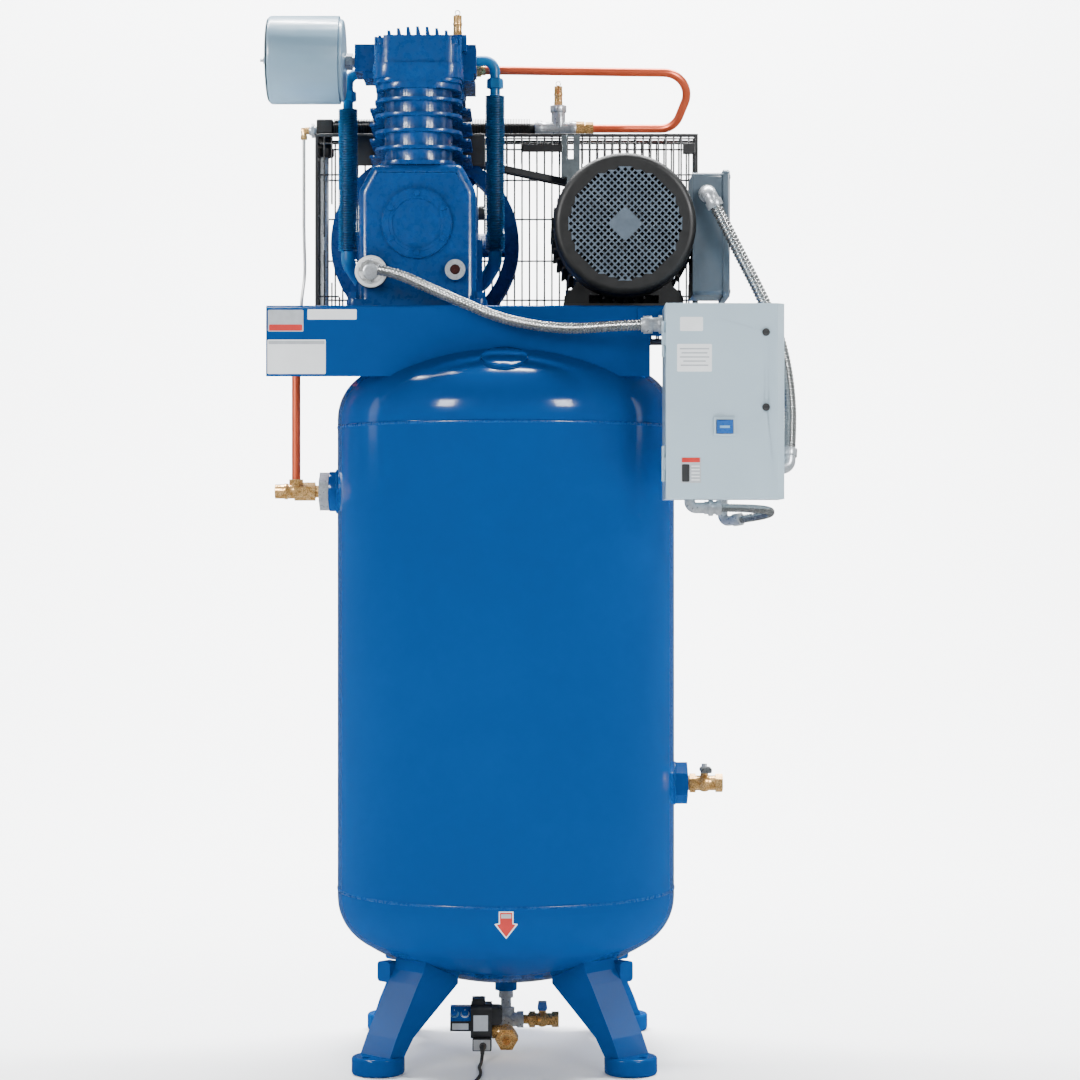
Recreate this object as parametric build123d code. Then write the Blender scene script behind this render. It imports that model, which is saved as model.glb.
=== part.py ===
"""Two-stage reciprocating air compressor on a vertical 300 litre receiver.

Millimetres. +Z is up and the floor is z = 0. The origin is on the receiver's axis, at the centre of the
four foot bolts. -Y is the front (control box, motor fan, crankcase cover) and +Y is the belt drive side.
"""

import os
from math import acos, asin, atan2, cos, degrees, pi, radians, sin, sqrt, tan

from build123d import *

# ---------------------------------------------------------------- driving dimensions
TANK_R = 305.0
TANK_WALL = 5.0
TANK_BOTTOM = 128.0
TANK_TOP = 1299.0
CROWN_R = 0.8 * 2 * TANK_R
KNUCKLE_R = 0.154 * 2 * TANK_R
SEAM_Z = (298.0, 1129.0)

PAD_H = 31.0
PAD_R = 46.0
PAD_RHO = 310.0
FOOT_BOLT_R = 7.0
FOOT_BOLT_RHO = 338.0

DECK_TOP = 1336.0
DECK_PLATE = 6.0
DECK_DEPTH = 124.0
DECK_REAR_DEPTH = 100.0
DECK_HALF_Y = 190.0
DECK_LEFT = -417.0
DECK_FLANGE_RIGHT = 254.0
DECK_RIGHT = 345.0
DECK_LIP = 26.0

CRANK_X = -156.0
CRANK_Z = 1486.0
THROW = 38.0
CASE_HALF_X = 104.0
CASE_FRONT = -130.0
CASE_REAR = 125.0
CASE_TOP = 1592.0
FRONT_CYL_Y = -58.0
REAR_CYL_Y = 68.0
FRONT_BORE_R = 36.0
REAR_BORE_R = 55.0
CYL_TOP = 1739.0
PLATE_TOP = 1747.0
HEAD_TOP = 1822.0
HEAD_FRONT = -120.0
HEAD_REAR = 158.0
HEAD_HALF_X = 78.0

SHAFT_R = 17.0
FLYWHEEL_R = 178.0
FLYWHEEL_Y = (208.0, 272.0)
SHEAVE_R = 108.0
SHEAVE_Y = (214.0, 266.0)
BELT_Y = (228.0, 252.0)
GROOVE_DEPTH = 13.0

MOTOR_X = 211.0
MOTOR_Z = 1480.0
MOTOR_R = 118.0
MOTOR_FIN_R = 130.0
MOTOR_Y = (-96.0, 150.0)
COWL_R = 125.0
COWL_FRONT = -180.0
GRILLE_R = 103.0

GUARD_X = (-363.0, 360.0)
GUARD_Y = (198.0, 290.0)
GUARD_Z = (1300.0, 1693.0)
GUARD_ROD = 6.0
MESH_WIRE = 3.0

COOLER_Y = 230.0
COOLER_Z = 1709.0
IC_LEG_Y = 105.0
IC_LEFT_X = -294.0
IC_RIGHT_X = -21.7
IC_TUBE_R = 9.5
IC_FIN_R = 18.0

FILTER_X = (-432.5, -292.0)
FILTER_Z = 1797.0
FILTER_R = 79.4

BOX_X = (275.0, 477.0)
BOX_Y = (-335.0, -195.0)
BOX_Z = (995.5, 1327.5)
BOX_SKIN = 2.0
DOOR_BACK = -319.0
DOOR_BEVEL = (12.5, 14.0)
HINGE_X = 271.6
HINGE_Y = -318.7
HINGE_R = 3.2
LATCH_X = 444.5
LATCH_Z = {"upper": 1278.0, "lower": 1151.0}
BUTTON_X = 374.5
BUTTON_Z = 1117.8

INLET_Z = 1014.0
OUTLET_Z = 485.0
PORT_THREAD = 18.0
DRAIN_Z = 56.0
SWITCH_Y = -100.0
SWITCH_Z = 1045.0

NODES = {}


# ---------------------------------------------------------------- helpers
def block(x, y, z):
    """A box from three (low, high) pairs."""
    centre = Pos((x[0] + x[1]) / 2, (y[0] + y[1]) / 2, (z[0] + z[1]) / 2)
    return centre * Box(x[1] - x[0], y[1] - y[0], z[1] - z[0])


def rod_x(x, y, z, r):
    return Pos((x[0] + x[1]) / 2, y, z) * Rot(0, 90, 0) * Cylinder(r, x[1] - x[0])


def rod_y(x, y, z, r):
    return Pos(x, (y[0] + y[1]) / 2, z) * Rot(90, 0, 0) * Cylinder(r, y[1] - y[0])


def rod_z(x, y, z, r):
    return Pos(x, y, (z[0] + z[1]) / 2) * Cylinder(r, z[1] - z[0])


def hexagon(length, across_flats):
    """A hexagonal prism centred on the origin, along Z."""
    outline = RegularPolygon(across_flats / 2, 6, major_radius=False)
    return Pos(0, 0, -length / 2) * extrude(outline, length)


def hex_x(x, y, z, across_flats):
    return Pos((x[0] + x[1]) / 2, y, z) * Rot(0, 90, 0) * hexagon(x[1] - x[0], across_flats)


def hex_y(x, y, z, across_flats):
    return Pos(x, (y[0] + y[1]) / 2, z) * Rot(90, 0, 0) * hexagon(y[1] - y[0], across_flats)


def hex_z(x, y, z, across_flats):
    return Pos(x, y, (z[0] + z[1]) / 2) * hexagon(z[1] - z[0], across_flats)


def fused(shapes):
    """One solid out of pieces that touch or overlap."""
    return Part() + list(shapes)


def group(shapes):
    """Separate solids that share one node."""
    return Compound(children=[s for shape in shapes for s in shape.solids()])


def tube(points, radii, r):
    """A round bar along straight runs joined by tangent arcs, one radius for each corner."""
    path = FilletPolyline(*points, radius=radii)
    start = Plane(origin=points[0], z_dir=Vector(*points[1]) - Vector(*points[0]))
    return sweep(start * Circle(r), path=path)


def corner_radii(points):
    """The largest tangent arc at each corner: 0.45 of the shorter run, over the tangent of half the turn."""
    radii = []
    for before, here, after in zip(points, points[1:], points[2:]):
        run_in = Vector(*here) - Vector(*before)
        run_out = Vector(*after) - Vector(*here)
        turn = radians(run_in.get_angle(run_out))
        radii.append(0.45 * min(run_in.length, run_out.length) / tan(turn / 2))
    return radii


def free_tube(name, points, r):
    """A cord or conduit: prints its bends and its length beside the length that its volume gives."""
    radii = corner_radii(points)
    solid = tube(points, radii, r)
    length = FilletPolyline(*points, radius=radii).length
    print(name, "radii", [round(x) for x in radii], "length", round(length))
    print(name, "length by volume", round(solid.volume / (pi * r * r)))
    return solid


def mirrored_x(shape):
    return mirror(shape, Plane.YZ)


# ---------------------------------------------------------------- receiver
def head_height():
    return CROWN_R - sqrt((CROWN_R - KNUCKLE_R) ** 2 - (TANK_R - KNUCKLE_R) ** 2)


def head_arcs(z_crown, up, inset):
    """Crown and knuckle arcs of one dished head, as points (start, middle, joint, middle, end)."""
    tip = asin((TANK_R - KNUCKLE_R) / (CROWN_R - KNUCKLE_R))
    crown_r = CROWN_R - inset
    knuckle_r = KNUCKLE_R - inset
    centre = z_crown - up * CROWN_R
    knuckle_z = z_crown - up * head_height()
    points = []
    for angle in (0, tip / 2, tip):
        points.append((crown_r * sin(angle), centre + up * crown_r * cos(angle)))
    for angle in ((tip + pi / 2) / 2, pi / 2):
        x = TANK_R - KNUCKLE_R + knuckle_r * sin(angle)
        points.append((x, knuckle_z + up * knuckle_r * cos(angle)))
    return points


def receiver(inset):
    """The vessel's solid of revolution, shrunk by inset on every side."""
    low = head_arcs(TANK_BOTTOM, -1, inset)
    high = head_arcs(TANK_TOP, 1, inset)
    edges = [
        ThreePointArc(*low[0:3]),
        ThreePointArc(*low[2:5]),
        Line(low[4], high[4]),
        ThreePointArc(*high[4:1:-1]),
        ThreePointArc(*high[2::-1]),
        Line(high[0], low[0]),
    ]
    return revolve(Plane.XZ * make_face(edges), Axis.Z)


def crown_boss(r, low, high):
    """A cylinder square to the top crown, in front of the deck."""
    lean = degrees(asin(230.0 / CROWN_R))
    place = Pos(0, 0, TANK_TOP - CROWN_R) * Rot(lean, 0, 0)
    return place * Pos(0, 0, (low + high) / 2) * Cylinder(r, high - low)


def make_tank():
    port_holes = [
        rod_x((-350, -270), 0, INLET_Z, 36),
        rod_x((270, 350), 0, OUTLET_Z, 35),
        rod_x((250, 330), SWITCH_Y, SWITCH_Z, 19),
        rod_z(0, 0, (100, 150), 20),
        crown_boss(40, 470, 500),
    ]
    beads = [Pos(0, 0, z) * Torus(TANK_R - 2.6, 4) for z in SEAM_Z]
    NODES["tank_shell"] = fused([receiver(0), *beads]) - receiver(TANK_WALL) - port_holes
    crown_pad = crown_boss(40, 478, 500) & Pos(0, 0, TANK_TOP - CROWN_R) * Sphere(CROWN_R + 5.5)
    ports = [
        rod_x((-320, -288), 0, INLET_Z, 36) - rod_x((-321, -287), 0, INLET_Z, 24),
        hex_x((306, 329), 0, OUTLET_Z, 66) + rod_x((288, 306), 0, OUTLET_Z, 35)
        - rod_x((287, 330), 0, OUTLET_Z, 9),
        rod_x((270, 312), SWITCH_Y, SWITCH_Z, 19) - rod_x((269, 313), SWITCH_Y, SWITCH_Z, 8),
        rod_z(0, 0, (110, 138), 20) - rod_z(0, 0, (109, 139), 9.6),
        crown_pad,
    ]
    NODES["tank_ports"] = group(ports)


def make_legs():
    """A pressed channel leg on a round pad, made once on +X and turned to the four corners."""
    skin = 6.0
    half_top = 38.0
    web = [(239, 170), (252, 150), (302, 63), (318, PAD_H - 2)]
    inner = [(284, PAD_H - 2), (262, 60), (155, 143), (155, 240), (215, 240)]
    outline = Plane.XZ * make_face(Polyline(*web, *inner, close=True))
    body = extrude(outline, half_top, both=True)
    inset_web = [(x - skin, z) for x, z in web]
    cut = [(250, PAD_H), (120, PAD_H), (120, 260), (226, 260)]
    channel = Plane.XZ * make_face(Polyline(*inset_web, *cut, close=True))
    body -= extrude(channel, half_top - skin, both=True)
    pad = rod_z(PAD_RHO, 0, (0, PAD_H), PAD_R)
    pad = fillet(pad.edges().filter_by(GeomType.CIRCLE), 5)
    lug = block((226, 250), (half_top - 1, 70), (146, 182))
    lug = fillet(lug.edges().filter_by(Axis.X), 7)
    legs = []
    for angle in (45, 135, 225, 315):
        side = 1 if angle in (135, 315) else -1
        this_lug = lug if side > 0 else mirror(lug, Plane.XZ)
        leg = fused([body, pad, this_lug]) - receiver(0)
        leg -= rod_z(FOOT_BOLT_RHO, 0, (-1, PAD_H + 1), FOOT_BOLT_R)
        legs.append(Rot(0, 0, angle) * leg)
    NODES["legs"] = group(legs)


# ---------------------------------------------------------------- platform
def pump_bolt_places():
    return [(CRANK_X + sx * 112, y) for sx in (-1, 1) for y in (-138, 134)]


def motor_bolt_places():
    return [(MOTOR_X + sx * 94, y) for sx in (-1, 1) for y in (-68, 110)]


def make_platform():
    y = (-DECK_HALF_Y, DECK_HALF_Y)
    skin = DECK_PLATE
    parts = [block((DECK_LEFT, DECK_RIGHT), y, (DECK_TOP - skin, DECK_TOP))]
    for side in (-1, 1):
        flange_y = sorted((side * DECK_HALF_Y, side * (DECK_HALF_Y - skin)))
        depth = DECK_DEPTH if side < 0 else DECK_REAR_DEPTH
        parts.append(block((DECK_LEFT, DECK_FLANGE_RIGHT), flange_y, (DECK_TOP - depth, DECK_TOP)))
        parts.append(block((DECK_LEFT, DECK_RIGHT), flange_y, (DECK_TOP - DECK_LIP, DECK_TOP)))
    deck = fused(parts)
    bends = deck.edges().filter_by(Axis.X).filter_by(
        lambda e: abs(e.center().Z - DECK_TOP) < 0.1 and abs(abs(e.center().Y) - DECK_HALF_Y) < 0.1
    )
    deck = fillet(bends, 5) - receiver(0)
    holes = [rod_z(x, y0, (DECK_TOP - 10, DECK_TOP + 5), 6) for x, y0 in pump_bolt_places()]
    holes += [rod_z(x, y0, (DECK_TOP - 10, DECK_TOP + 5), 6) for x, y0 in motor_bolt_places()]
    holes.append(rod_y(-347, (180, 195), 1272, 12))
    holes.append(rod_z(-386.5, 172, (1325, 1340), 5))
    box_arm = block((232, 440), (-195, -190), (1292, 1332))
    box_hanger = block((283, 297), (-195, -190), (1100, 1300))
    NODES["platform"] = fused([deck - holes, box_arm, box_hanger])


# ---------------------------------------------------------------- pump
def case_outline():
    """The crankcase seen from the front: straight sides, sloping shoulders and a flat top."""
    half = CASE_HALF_X
    right = [(half, 1345), (half, 1544), (78, CASE_TOP)]
    left = [(-x, z) for x, z in reversed(right)]
    outline = make_face(Polyline(*right, *left, close=True))
    outline = fillet(outline.vertices().filter_by(lambda v: abs(v.Y - 1544) < 1), 36)
    return fillet(outline.vertices().filter_by(lambda v: abs(v.Y - CASE_TOP) < 1), 14)


def make_crankcase():
    outer = Pos(CRANK_X, CASE_REAR, 0) * extrude(Plane.XZ * case_outline(), CASE_REAR - CASE_FRONT)
    faces = outer.faces().sort_by(Axis.Y)
    rims = [e for face in (faces[0], faces[-1]) for e in face.edges() if e.center().Z > 1350]
    outer = fillet(rims, 16)
    base = block((CRANK_X - 124, CRANK_X + 124), (-150, 146), (DECK_TOP, 1350))
    base = fillet(base.edges().filter_by(Axis.Z), 14)
    ribs = []
    for side in (-1, 1):
        x = sorted((CRANK_X + side * (CASE_HALF_X - 4), CRANK_X + side * (CASE_HALF_X + 9)))
        ribs.append(block(x, (-9, 9), (1349, 1470)))
        foot = [(CASE_HALF_X - 6, 1408), (122, 1349), (CASE_HALF_X - 6, 1349)]
        gusset = make_face(Polyline(*[(CRANK_X + side * u, z) for u, z in foot], close=True))
        for y in (-88, 102):
            ribs.append(Pos(0, y, 0) * extrude(Plane.XZ * gusset, 14))
    level_boss = rod_y(-236, (-140, -100), 1399, 24)
    sight_boss = rod_y(-88, (-138, -100), 1403, 20)
    shell = fused([outer, base, level_boss, sight_boss] + ribs)
    cavity = block((CRANK_X - 78, CRANK_X + 78), (CASE_FRONT + 12, CASE_REAR - 12), (1352, 1568))
    cavity = fillet(cavity.edges().filter_by(Axis.Z), 14)
    cuts = [
        cavity,
        rod_y(CRANK_X, (CASE_FRONT - 1, -110), CRANK_Z, 52),
        rod_y(CRANK_X, (105, CASE_REAR + 1), CRANK_Z, 50),
        rod_z(CRANK_X, FRONT_CYL_Y, (1560, 1600), 45),
        rod_z(CRANK_X, REAR_CYL_Y, (1560, 1600), 60),
        rod_y(-236, (-141, -100), 1399, 12),
        rod_y(-88, (-139, -100), 1403, 10),
    ]
    cuts += [rod_z(x, y, (DECK_TOP - 1, 1351), 6) for x, y in pump_bolt_places()]
    NODES["crankcase"] = shell - cuts

    front = fused([
        rod_y(CRANK_X, (CASE_FRONT - 7, CASE_FRONT), CRANK_Z, 62),
        rod_y(CRANK_X, (CASE_FRONT, -112), CRANK_Z, 51.5),
    ])
    front -= rod_y(CRANK_X, (-126, -111), CRANK_Z, 30)
    front -= rod_y(CRANK_X, (CASE_FRONT - 8, CASE_FRONT - 4), CRANK_Z, 44)
    rear = fused([
        rod_y(CRANK_X, (CASE_REAR, 150), CRANK_Z, 57),
        rod_y(CRANK_X, (112, CASE_REAR), CRANK_Z, 49.5),
        rod_y(CRANK_X, (150, 176), CRANK_Z, 40),
    ])
    rear -= rod_y(CRANK_X, (111, 152), CRANK_Z, 36)
    rear -= rod_y(CRANK_X, (111, 180), CRANK_Z, 27)
    NODES["crankcase_covers"] = group([front, rear])


def bearing(x, y, z, outer, bore):
    return rod_y(x, y, z, outer) - rod_y(x, (y[0] - 1, y[1] + 1), z, bore)


def make_bearings():
    NODES["bearings"] = group([
        bearing(CRANK_X, (-126, -112), CRANK_Z, 30, 15.0),
        bearing(CRANK_X, (128, 150), CRANK_Z, 36, SHAFT_R + 5.05),
        bearing(CRANK_X, (162, 174), CRANK_Z, 27, SHAFT_R + 5.05),
        bearing(MOTOR_X, (-110, -97), MOTOR_Z, 32, 17.55),
        bearing(MOTOR_X, (152, 168), MOTOR_Z, 36, 17.55),
    ])


def make_crank_train():
    """Throws, rods and pistons at rest: the front piston at the top, the rear piston at the bottom."""
    up = CRANK_Z + THROW
    down = CRANK_Z - THROW
    throws = [
        rod_y(CRANK_X, (-126, -96), CRANK_Z, 15),
        rod_y(CRANK_X, (-96, -80), CRANK_Z, 24),
        rod_y(CRANK_X, (-80, -36), up, 18),
        rod_y(CRANK_X, (46, 90), down, 18),
        rod_y(CRANK_X, (90, 106), CRANK_Z, 24),
    ]
    for y, top, bottom in (((-96, -80), up + 20, CRANK_Z - 62), ((90, 106), CRANK_Z + 62, down - 20)):
        throws.append(block((CRANK_X - 26, CRANK_X + 26), y, (bottom, top)))
    throws.append(block((CRANK_X - 22, CRANK_X + 22), (-36, 46), (down - 18, up + 18)))
    NODES["crank_throws"] = fused(throws)

    pistons = []
    rods = []
    for y, pin_z, radius, top in (
        (FRONT_CYL_Y, up, FRONT_BORE_R - 0.1, 1737.0),
        (REAR_CYL_Y, down, REAR_BORE_R - 0.1, 1737.0 - 2 * THROW),
    ):
        wrist = top - 38
        piston = rod_z(CRANK_X, y, (top - 66, top), radius)
        piston -= rod_z(CRANK_X, y, (top - 70, top - 10), radius - 7)
        for ring in (8, 15, 22):
            outer = rod_z(CRANK_X, y, (top - ring - 1.5, top - ring + 1.5), radius + 5)
            groove = outer - rod_z(CRANK_X, y, (top - ring - 2, top - ring + 2), radius - 2.5)
            piston -= groove
        pin = rod_y(CRANK_X, (y - radius + 6, y + radius - 6), wrist, 9)
        pistons.append(fused([piston, pin]))
        rod = fused([
            rod_y(CRANK_X, (y - 14, y + 14), wrist, 16),
            block((CRANK_X - 9, CRANK_X + 9), (y - 8, y + 8), (pin_z + 10, wrist)),
            rod_y(CRANK_X, (y - 15, y + 15), pin_z, 31),
        ])
        rod -= rod_y(CRANK_X, (y - 20, y + 20), wrist, 9.05)
        rod -= rod_y(CRANK_X, (y - 20, y + 20), pin_z, 18.05)
        rods.append(rod)
    NODES["pistons"] = group(pistons)
    NODES["connecting_rods"] = group(rods)


def fin_outline(half_x, y, front_radius, z, thick):
    """One cooling fin: a plate with its two front corners well rounded."""
    fin = block((CRANK_X - half_x, CRANK_X + half_x), y, (z, z + thick))
    edges = fin.edges().filter_by(Axis.Z).sort_by(Axis.Y)
    fin = fillet(edges[:2], front_radius)
    back = fin.edges().filter_by(Axis.Z).sort_by(Axis.Y)[-2:]
    return fillet(back, 6)


def make_cylinders():
    front = [
        rod_z(CRANK_X, FRONT_CYL_Y, (CASE_TOP, CYL_TOP), 61),
        fin_outline(76, (-121, -1), 52, CYL_TOP - 11, 11),
        fin_outline(67, (-121, -1), 36, CASE_TOP, 8),
    ]
    rear = [
        rod_z(CRANK_X, REAR_CYL_Y, (CASE_TOP, CYL_TOP), 66),
        fin_outline(80, (1, 140), 20, CYL_TOP - 11, 11),
        fin_outline(70, (1, 124), 20, CASE_TOP, 8),
    ]
    for z in (1620, 1650, 1679, 1706):
        front.append(fin_outline(78, (-124, -1), 58, z, 6))
        rear.append(fin_outline(92, (1, 144), 10, z, 5))
    front_solid = fused(front)
    front_solid -= rod_z(CRANK_X, FRONT_CYL_Y, (CASE_TOP - 1, CYL_TOP + 1), FRONT_BORE_R)
    front_solid -= block((CRANK_X - 70, CRANK_X + 70), (-0.9, 10), (CASE_TOP - 1, CYL_TOP + 1))
    rear_solid = fused(rear)
    rear_solid -= rod_z(CRANK_X, REAR_CYL_Y, (CASE_TOP - 1, CYL_TOP + 1), REAR_BORE_R)
    rear_solid -= block((CRANK_X - 70, CRANK_X + 70), (-10, 0.9), (CASE_TOP - 1, CYL_TOP + 1))
    NODES["cylinder_front"] = front_solid
    NODES["cylinder_rear"] = rear_solid


def head_bolt_places():
    xs = (CRANK_X - 64, CRANK_X + 64)
    return [(x, y) for x in xs for y in (-104, -6, 66, 142)]


def make_head():
    plate = fin_outline(78, (HEAD_FRONT, HEAD_REAR), 34, CYL_TOP, PLATE_TOP - CYL_TOP)
    plate -= rod_z(CRANK_X, FRONT_CYL_Y, (CYL_TOP - 1, PLATE_TOP + 1), 8)
    plate -= rod_z(CRANK_X, REAR_CYL_Y, (CYL_TOP - 1, PLATE_TOP + 1), 12)
    NODES["valve_plate"] = plate

    lower = fin_outline(HEAD_HALF_X + 2, (HEAD_FRONT, HEAD_REAR), 30, PLATE_TOP, 26)
    upper = fin_outline(HEAD_HALF_X, (HEAD_FRONT + 3, HEAD_REAR - 3), 30, PLATE_TOP, HEAD_TOP - PLATE_TOP)
    lugs = [
        block((-273, CRANK_X - 60), (-30, 62), (1772, 1821)),
        block((-258, CRANK_X - 60), (-26, 58), (1760, 1774)),
        block((CRANK_X + 60, -54), (-30, 40), (1768, 1820)),
        block((CRANK_X + 60, -58), (-30, 152), (1755, 1776)),
        block((CRANK_X + 60, -62), (84, 152), (1774, 1820)),
        block((-250, CRANK_X - 60), (84, 126), (1772, 1812)),
        block((-103, -70), (-78, -44), (1800, 1829)),
    ]
    fins = []
    for k in range(9):
        x = CRANK_X - 68 + 17 * k
        crest = 1838 - 0.0028 * (x - CRANK_X) ** 2
        fins.append(block((x - 2.5, x + 2.5), (HEAD_FRONT + 8, HEAD_REAR - 12), (1790, crest)))
    head = fused([lower, upper] + lugs + fins)
    chambers = [
        block((CRANK_X - 52, CRANK_X + 52), (-92, -16), (PLATE_TOP - 1, 1806)),
        block((CRANK_X - 52, CRANK_X - 4), (8, 134), (PLATE_TOP - 1, 1806)),
        block((CRANK_X + 4, CRANK_X + 52), (8, 134), (PLATE_TOP - 1, 1806)),
        rod_x((-274, CRANK_X - 40), 16, 1797, 9),
        rod_x((-251, CRANK_X - 40), 105, 1790, 9),
        rod_x((CRANK_X + 40, -60), 105, 1797, 9),
        rod_x((CRANK_X + 40, -60), 142, 1797, 6),
        rod_z(-86, -61, (1795, 1830), 4.5),
    ]
    holes = [rod_z(x, y, (PLATE_TOP - 1, 1845), 5.5) for x, y in head_bolt_places()]
    tops = [rod_z(x, y, (1806, 1845), 11) for x, y in head_bolt_places()]
    NODES["cylinder_head"] = head - chambers - holes - tops


def bolt_down(x, y, z_seat, shank_to, across_flats, shank_r):
    """A hex bolt pointing down, with a washer under its head."""
    head_h = 0.65 * across_flats
    washer = rod_z(x, y, (z_seat, z_seat + 2), across_flats * 0.62)
    return fused([washer, hex_z(x, y, (z_seat + 2, z_seat + 2 + head_h), across_flats),
                  rod_z(x, y, (shank_to, z_seat + 1), shank_r)])


def make_pump_bolts():
    bolts = [bolt_down(x, y, 1806, PLATE_TOP + 1, 14, 5) for x, y in head_bolt_places()]
    bolts += [bolt_down(x, y, 1350, DECK_TOP - 14, 17, 5.5) for x, y in pump_bolt_places()]
    for k in range(6):
        angle = radians(30 + 60 * k)
        x = CRANK_X + 53 * cos(angle)
        z = CRANK_Z + 53 * sin(angle)
        bolts.append(hex_y(x, (CASE_FRONT - 12, CASE_FRONT - 7), z, 10))
    NODES["pump_bolts"] = group(bolts)


def v_groove(centre_x, centre_z, y, radius):
    """The ring cut for one belt, as a solid to subtract."""
    half_top = 8.75
    half_low = 7.2
    floor = radius - GROOVE_DEPTH
    outline = [(floor, y - half_low), (radius + 1, y - half_top), (radius + 1, y + half_top), (floor, y + half_low)]
    ring = revolve(make_face(Polyline(*outline, close=True)), Axis.Y)
    return Pos(centre_x, 0, centre_z) * ring


def make_flywheel():
    y0, y1 = FLYWHEEL_Y
    rim = rod_y(CRANK_X, (y0, y1), CRANK_Z, FLYWHEEL_R) - rod_y(CRANK_X, (y0 - 1, y1 + 1), CRANK_Z, 152)
    hub = rod_y(CRANK_X, (y0 - 6, y1 - 4), CRANK_Z, 38)
    spokes = []
    for k in range(6):
        blade = Pos(95, 0, 0) * Rot(42, 0, 0) * Box(124, 62, 11)
        spokes.append(Pos(CRANK_X, (y0 + y1) / 2, CRANK_Z) * Rot(0, 60 * k, 0) * blade)
    wheel = fused([rim, hub] + spokes)
    wheel -= [v_groove(CRANK_X, CRANK_Z, y, FLYWHEEL_R) for y in BELT_Y]
    wheel -= rod_y(CRANK_X, (y0 - 10, y1 + 10), CRANK_Z, SHAFT_R)
    NODES["flywheel"] = wheel
    NODES["output_shaft"] = fused([
        rod_y(CRANK_X, (106.5, 201), CRANK_Z, SHAFT_R + 5),
        rod_y(CRANK_X, (201, 276), CRANK_Z, SHAFT_R),
        hex_y(CRANK_X, (268, 280), CRANK_Z, 36),
    ])


# ---------------------------------------------------------------- air path
def make_intercooler():
    top_left = 1790
    top_right = 1814
    path = [
        (-251, IC_LEG_Y, top_left),
        (IC_LEFT_X, IC_LEG_Y, top_left),
        (IC_LEFT_X, IC_LEG_Y, 1438),
        (-268, 152, 1400),
        (-48, 152, 1400),
        (IC_RIGHT_X, IC_LEG_Y, 1438),
        (IC_RIGHT_X, IC_LEG_Y, top_right),
        (-62, IC_LEG_Y, top_right),
    ]
    pipe = tube(path, [20, 30, 24, 24, 30, 20], IC_TUBE_R)
    bend = tube([(IC_LEFT_X, IC_LEG_Y, 1460), *path[2:6], (IC_RIGHT_X, IC_LEG_Y, 1460)], [20, 24, 24, 20], 13)
    left = rod_z(IC_LEFT_X, IC_LEG_Y, (1462, 1727), IC_FIN_R) - rod_z(IC_LEFT_X, IC_LEG_Y, (1460, 1730), IC_TUBE_R)
    right = rod_z(IC_RIGHT_X, IC_LEG_Y, (1462, 1752), IC_FIN_R)
    right -= rod_z(IC_RIGHT_X, IC_LEG_Y, (1460, 1754), IC_TUBE_R)
    nuts = []
    for x, z in ((IC_LEFT_X, 1748), (IC_RIGHT_X, 1772)):
        nut = hex_z(x, IC_LEG_Y, (z - 9, z + 9), 27) - rod_z(x, IC_LEG_Y, (z - 10, z + 10), IC_TUBE_R)
        nuts.append(nut)
    NODES["intercooler"] = group([fused([pipe, bend]), left, right] + nuts)


def make_air_filter():
    x0, x1 = FILTER_X
    y = 0
    can = rod_x((x0, x1 - 9), y, FILTER_Z, FILTER_R)
    can = fillet(can.edges().sort_by(Axis.X)[0], 10)
    can -= rod_x((x0 + 2, x1 - 8), y, FILTER_Z, FILTER_R - 2)
    can -= rod_x((x0 - 1, x0 + 3), y, FILTER_Z, 3.2)
    plate = rod_x((x1 - 9, x1 - 1), y, FILTER_Z, FILTER_R - 6)
    plate = fillet(plate.edges().sort_by(Axis.X)[-1], 5)
    plate -= rod_x((x1 - 10, x1), 16, FILTER_Z, 11)
    NODES["air_filter_canister"] = group([can, plate])
    element = rod_x((x0 + 12, x1 - 12), y, FILTER_Z, 60) - rod_x((x0 + 11, x1 - 11), y, FILTER_Z, 32)
    NODES["air_filter_element"] = element


def relief_body(x, y, z0, shank):
    """A pop safety valve: threaded shank, hexagon, bonnet with a bored top."""
    body = fused([
        rod_z(x, y, (z0 - shank, z0), 4.5),
        hex_z(x, y, (z0, z0 + 8), 14),
        rod_z(x, y, (z0 + 8, z0 + 37), 7.6),
        rod_z(x, y, (z0 + 20, z0 + 24), 8.4),
    ])
    return body - rod_z(x, y, (z0 + 15, z0 + 40), 2.6)


def relief_stem(x, y, z0):
    """The pull stem with its test ring, which lifts off the seat."""
    ring = Pos(x, y, z0 + 42.5) * Rot(90, 0, 0) * Torus(4.2, 0.9)
    return fused([rod_z(x, y, (z0 + 16, z0 + 39.2), 2.2), ring])


INTERSTAGE_VALVE = (-86.0, -61.0, 1829.0)
TANK_VALVE = (96.5, COOLER_Y, 1750.0)


def make_relief_valves():
    bodies = [relief_body(*INTERSTAGE_VALVE, 16), relief_body(*TANK_VALVE, 14)]
    NODES["relief_valve_bodies"] = group(bodies)
    NODES["interstage_relief_stem"] = relief_stem(*INTERSTAGE_VALVE)
    NODES["tank_relief_stem"] = relief_stem(*TANK_VALVE)


def make_copper():
    loop = [(-49, 142, 1803), (355, 150, 1799), (315, 205, 1703), (212, COOLER_Y, COOLER_Z - 2), (156, COOLER_Y, COOLER_Z - 2)]
    discharge = tube(loop, [44, 40, 90], 7.9)
    drop = [(-347, COOLER_Y, 1312), (-347, COOLER_Y, 1272), (-347, 70, 1272), (-381, 0, 1272), (-381, 0, 1028)]
    inlet = tube(drop, [30, 60, 34], 7.9)
    NODES["copper_tubes"] = group([discharge, inlet])


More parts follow.
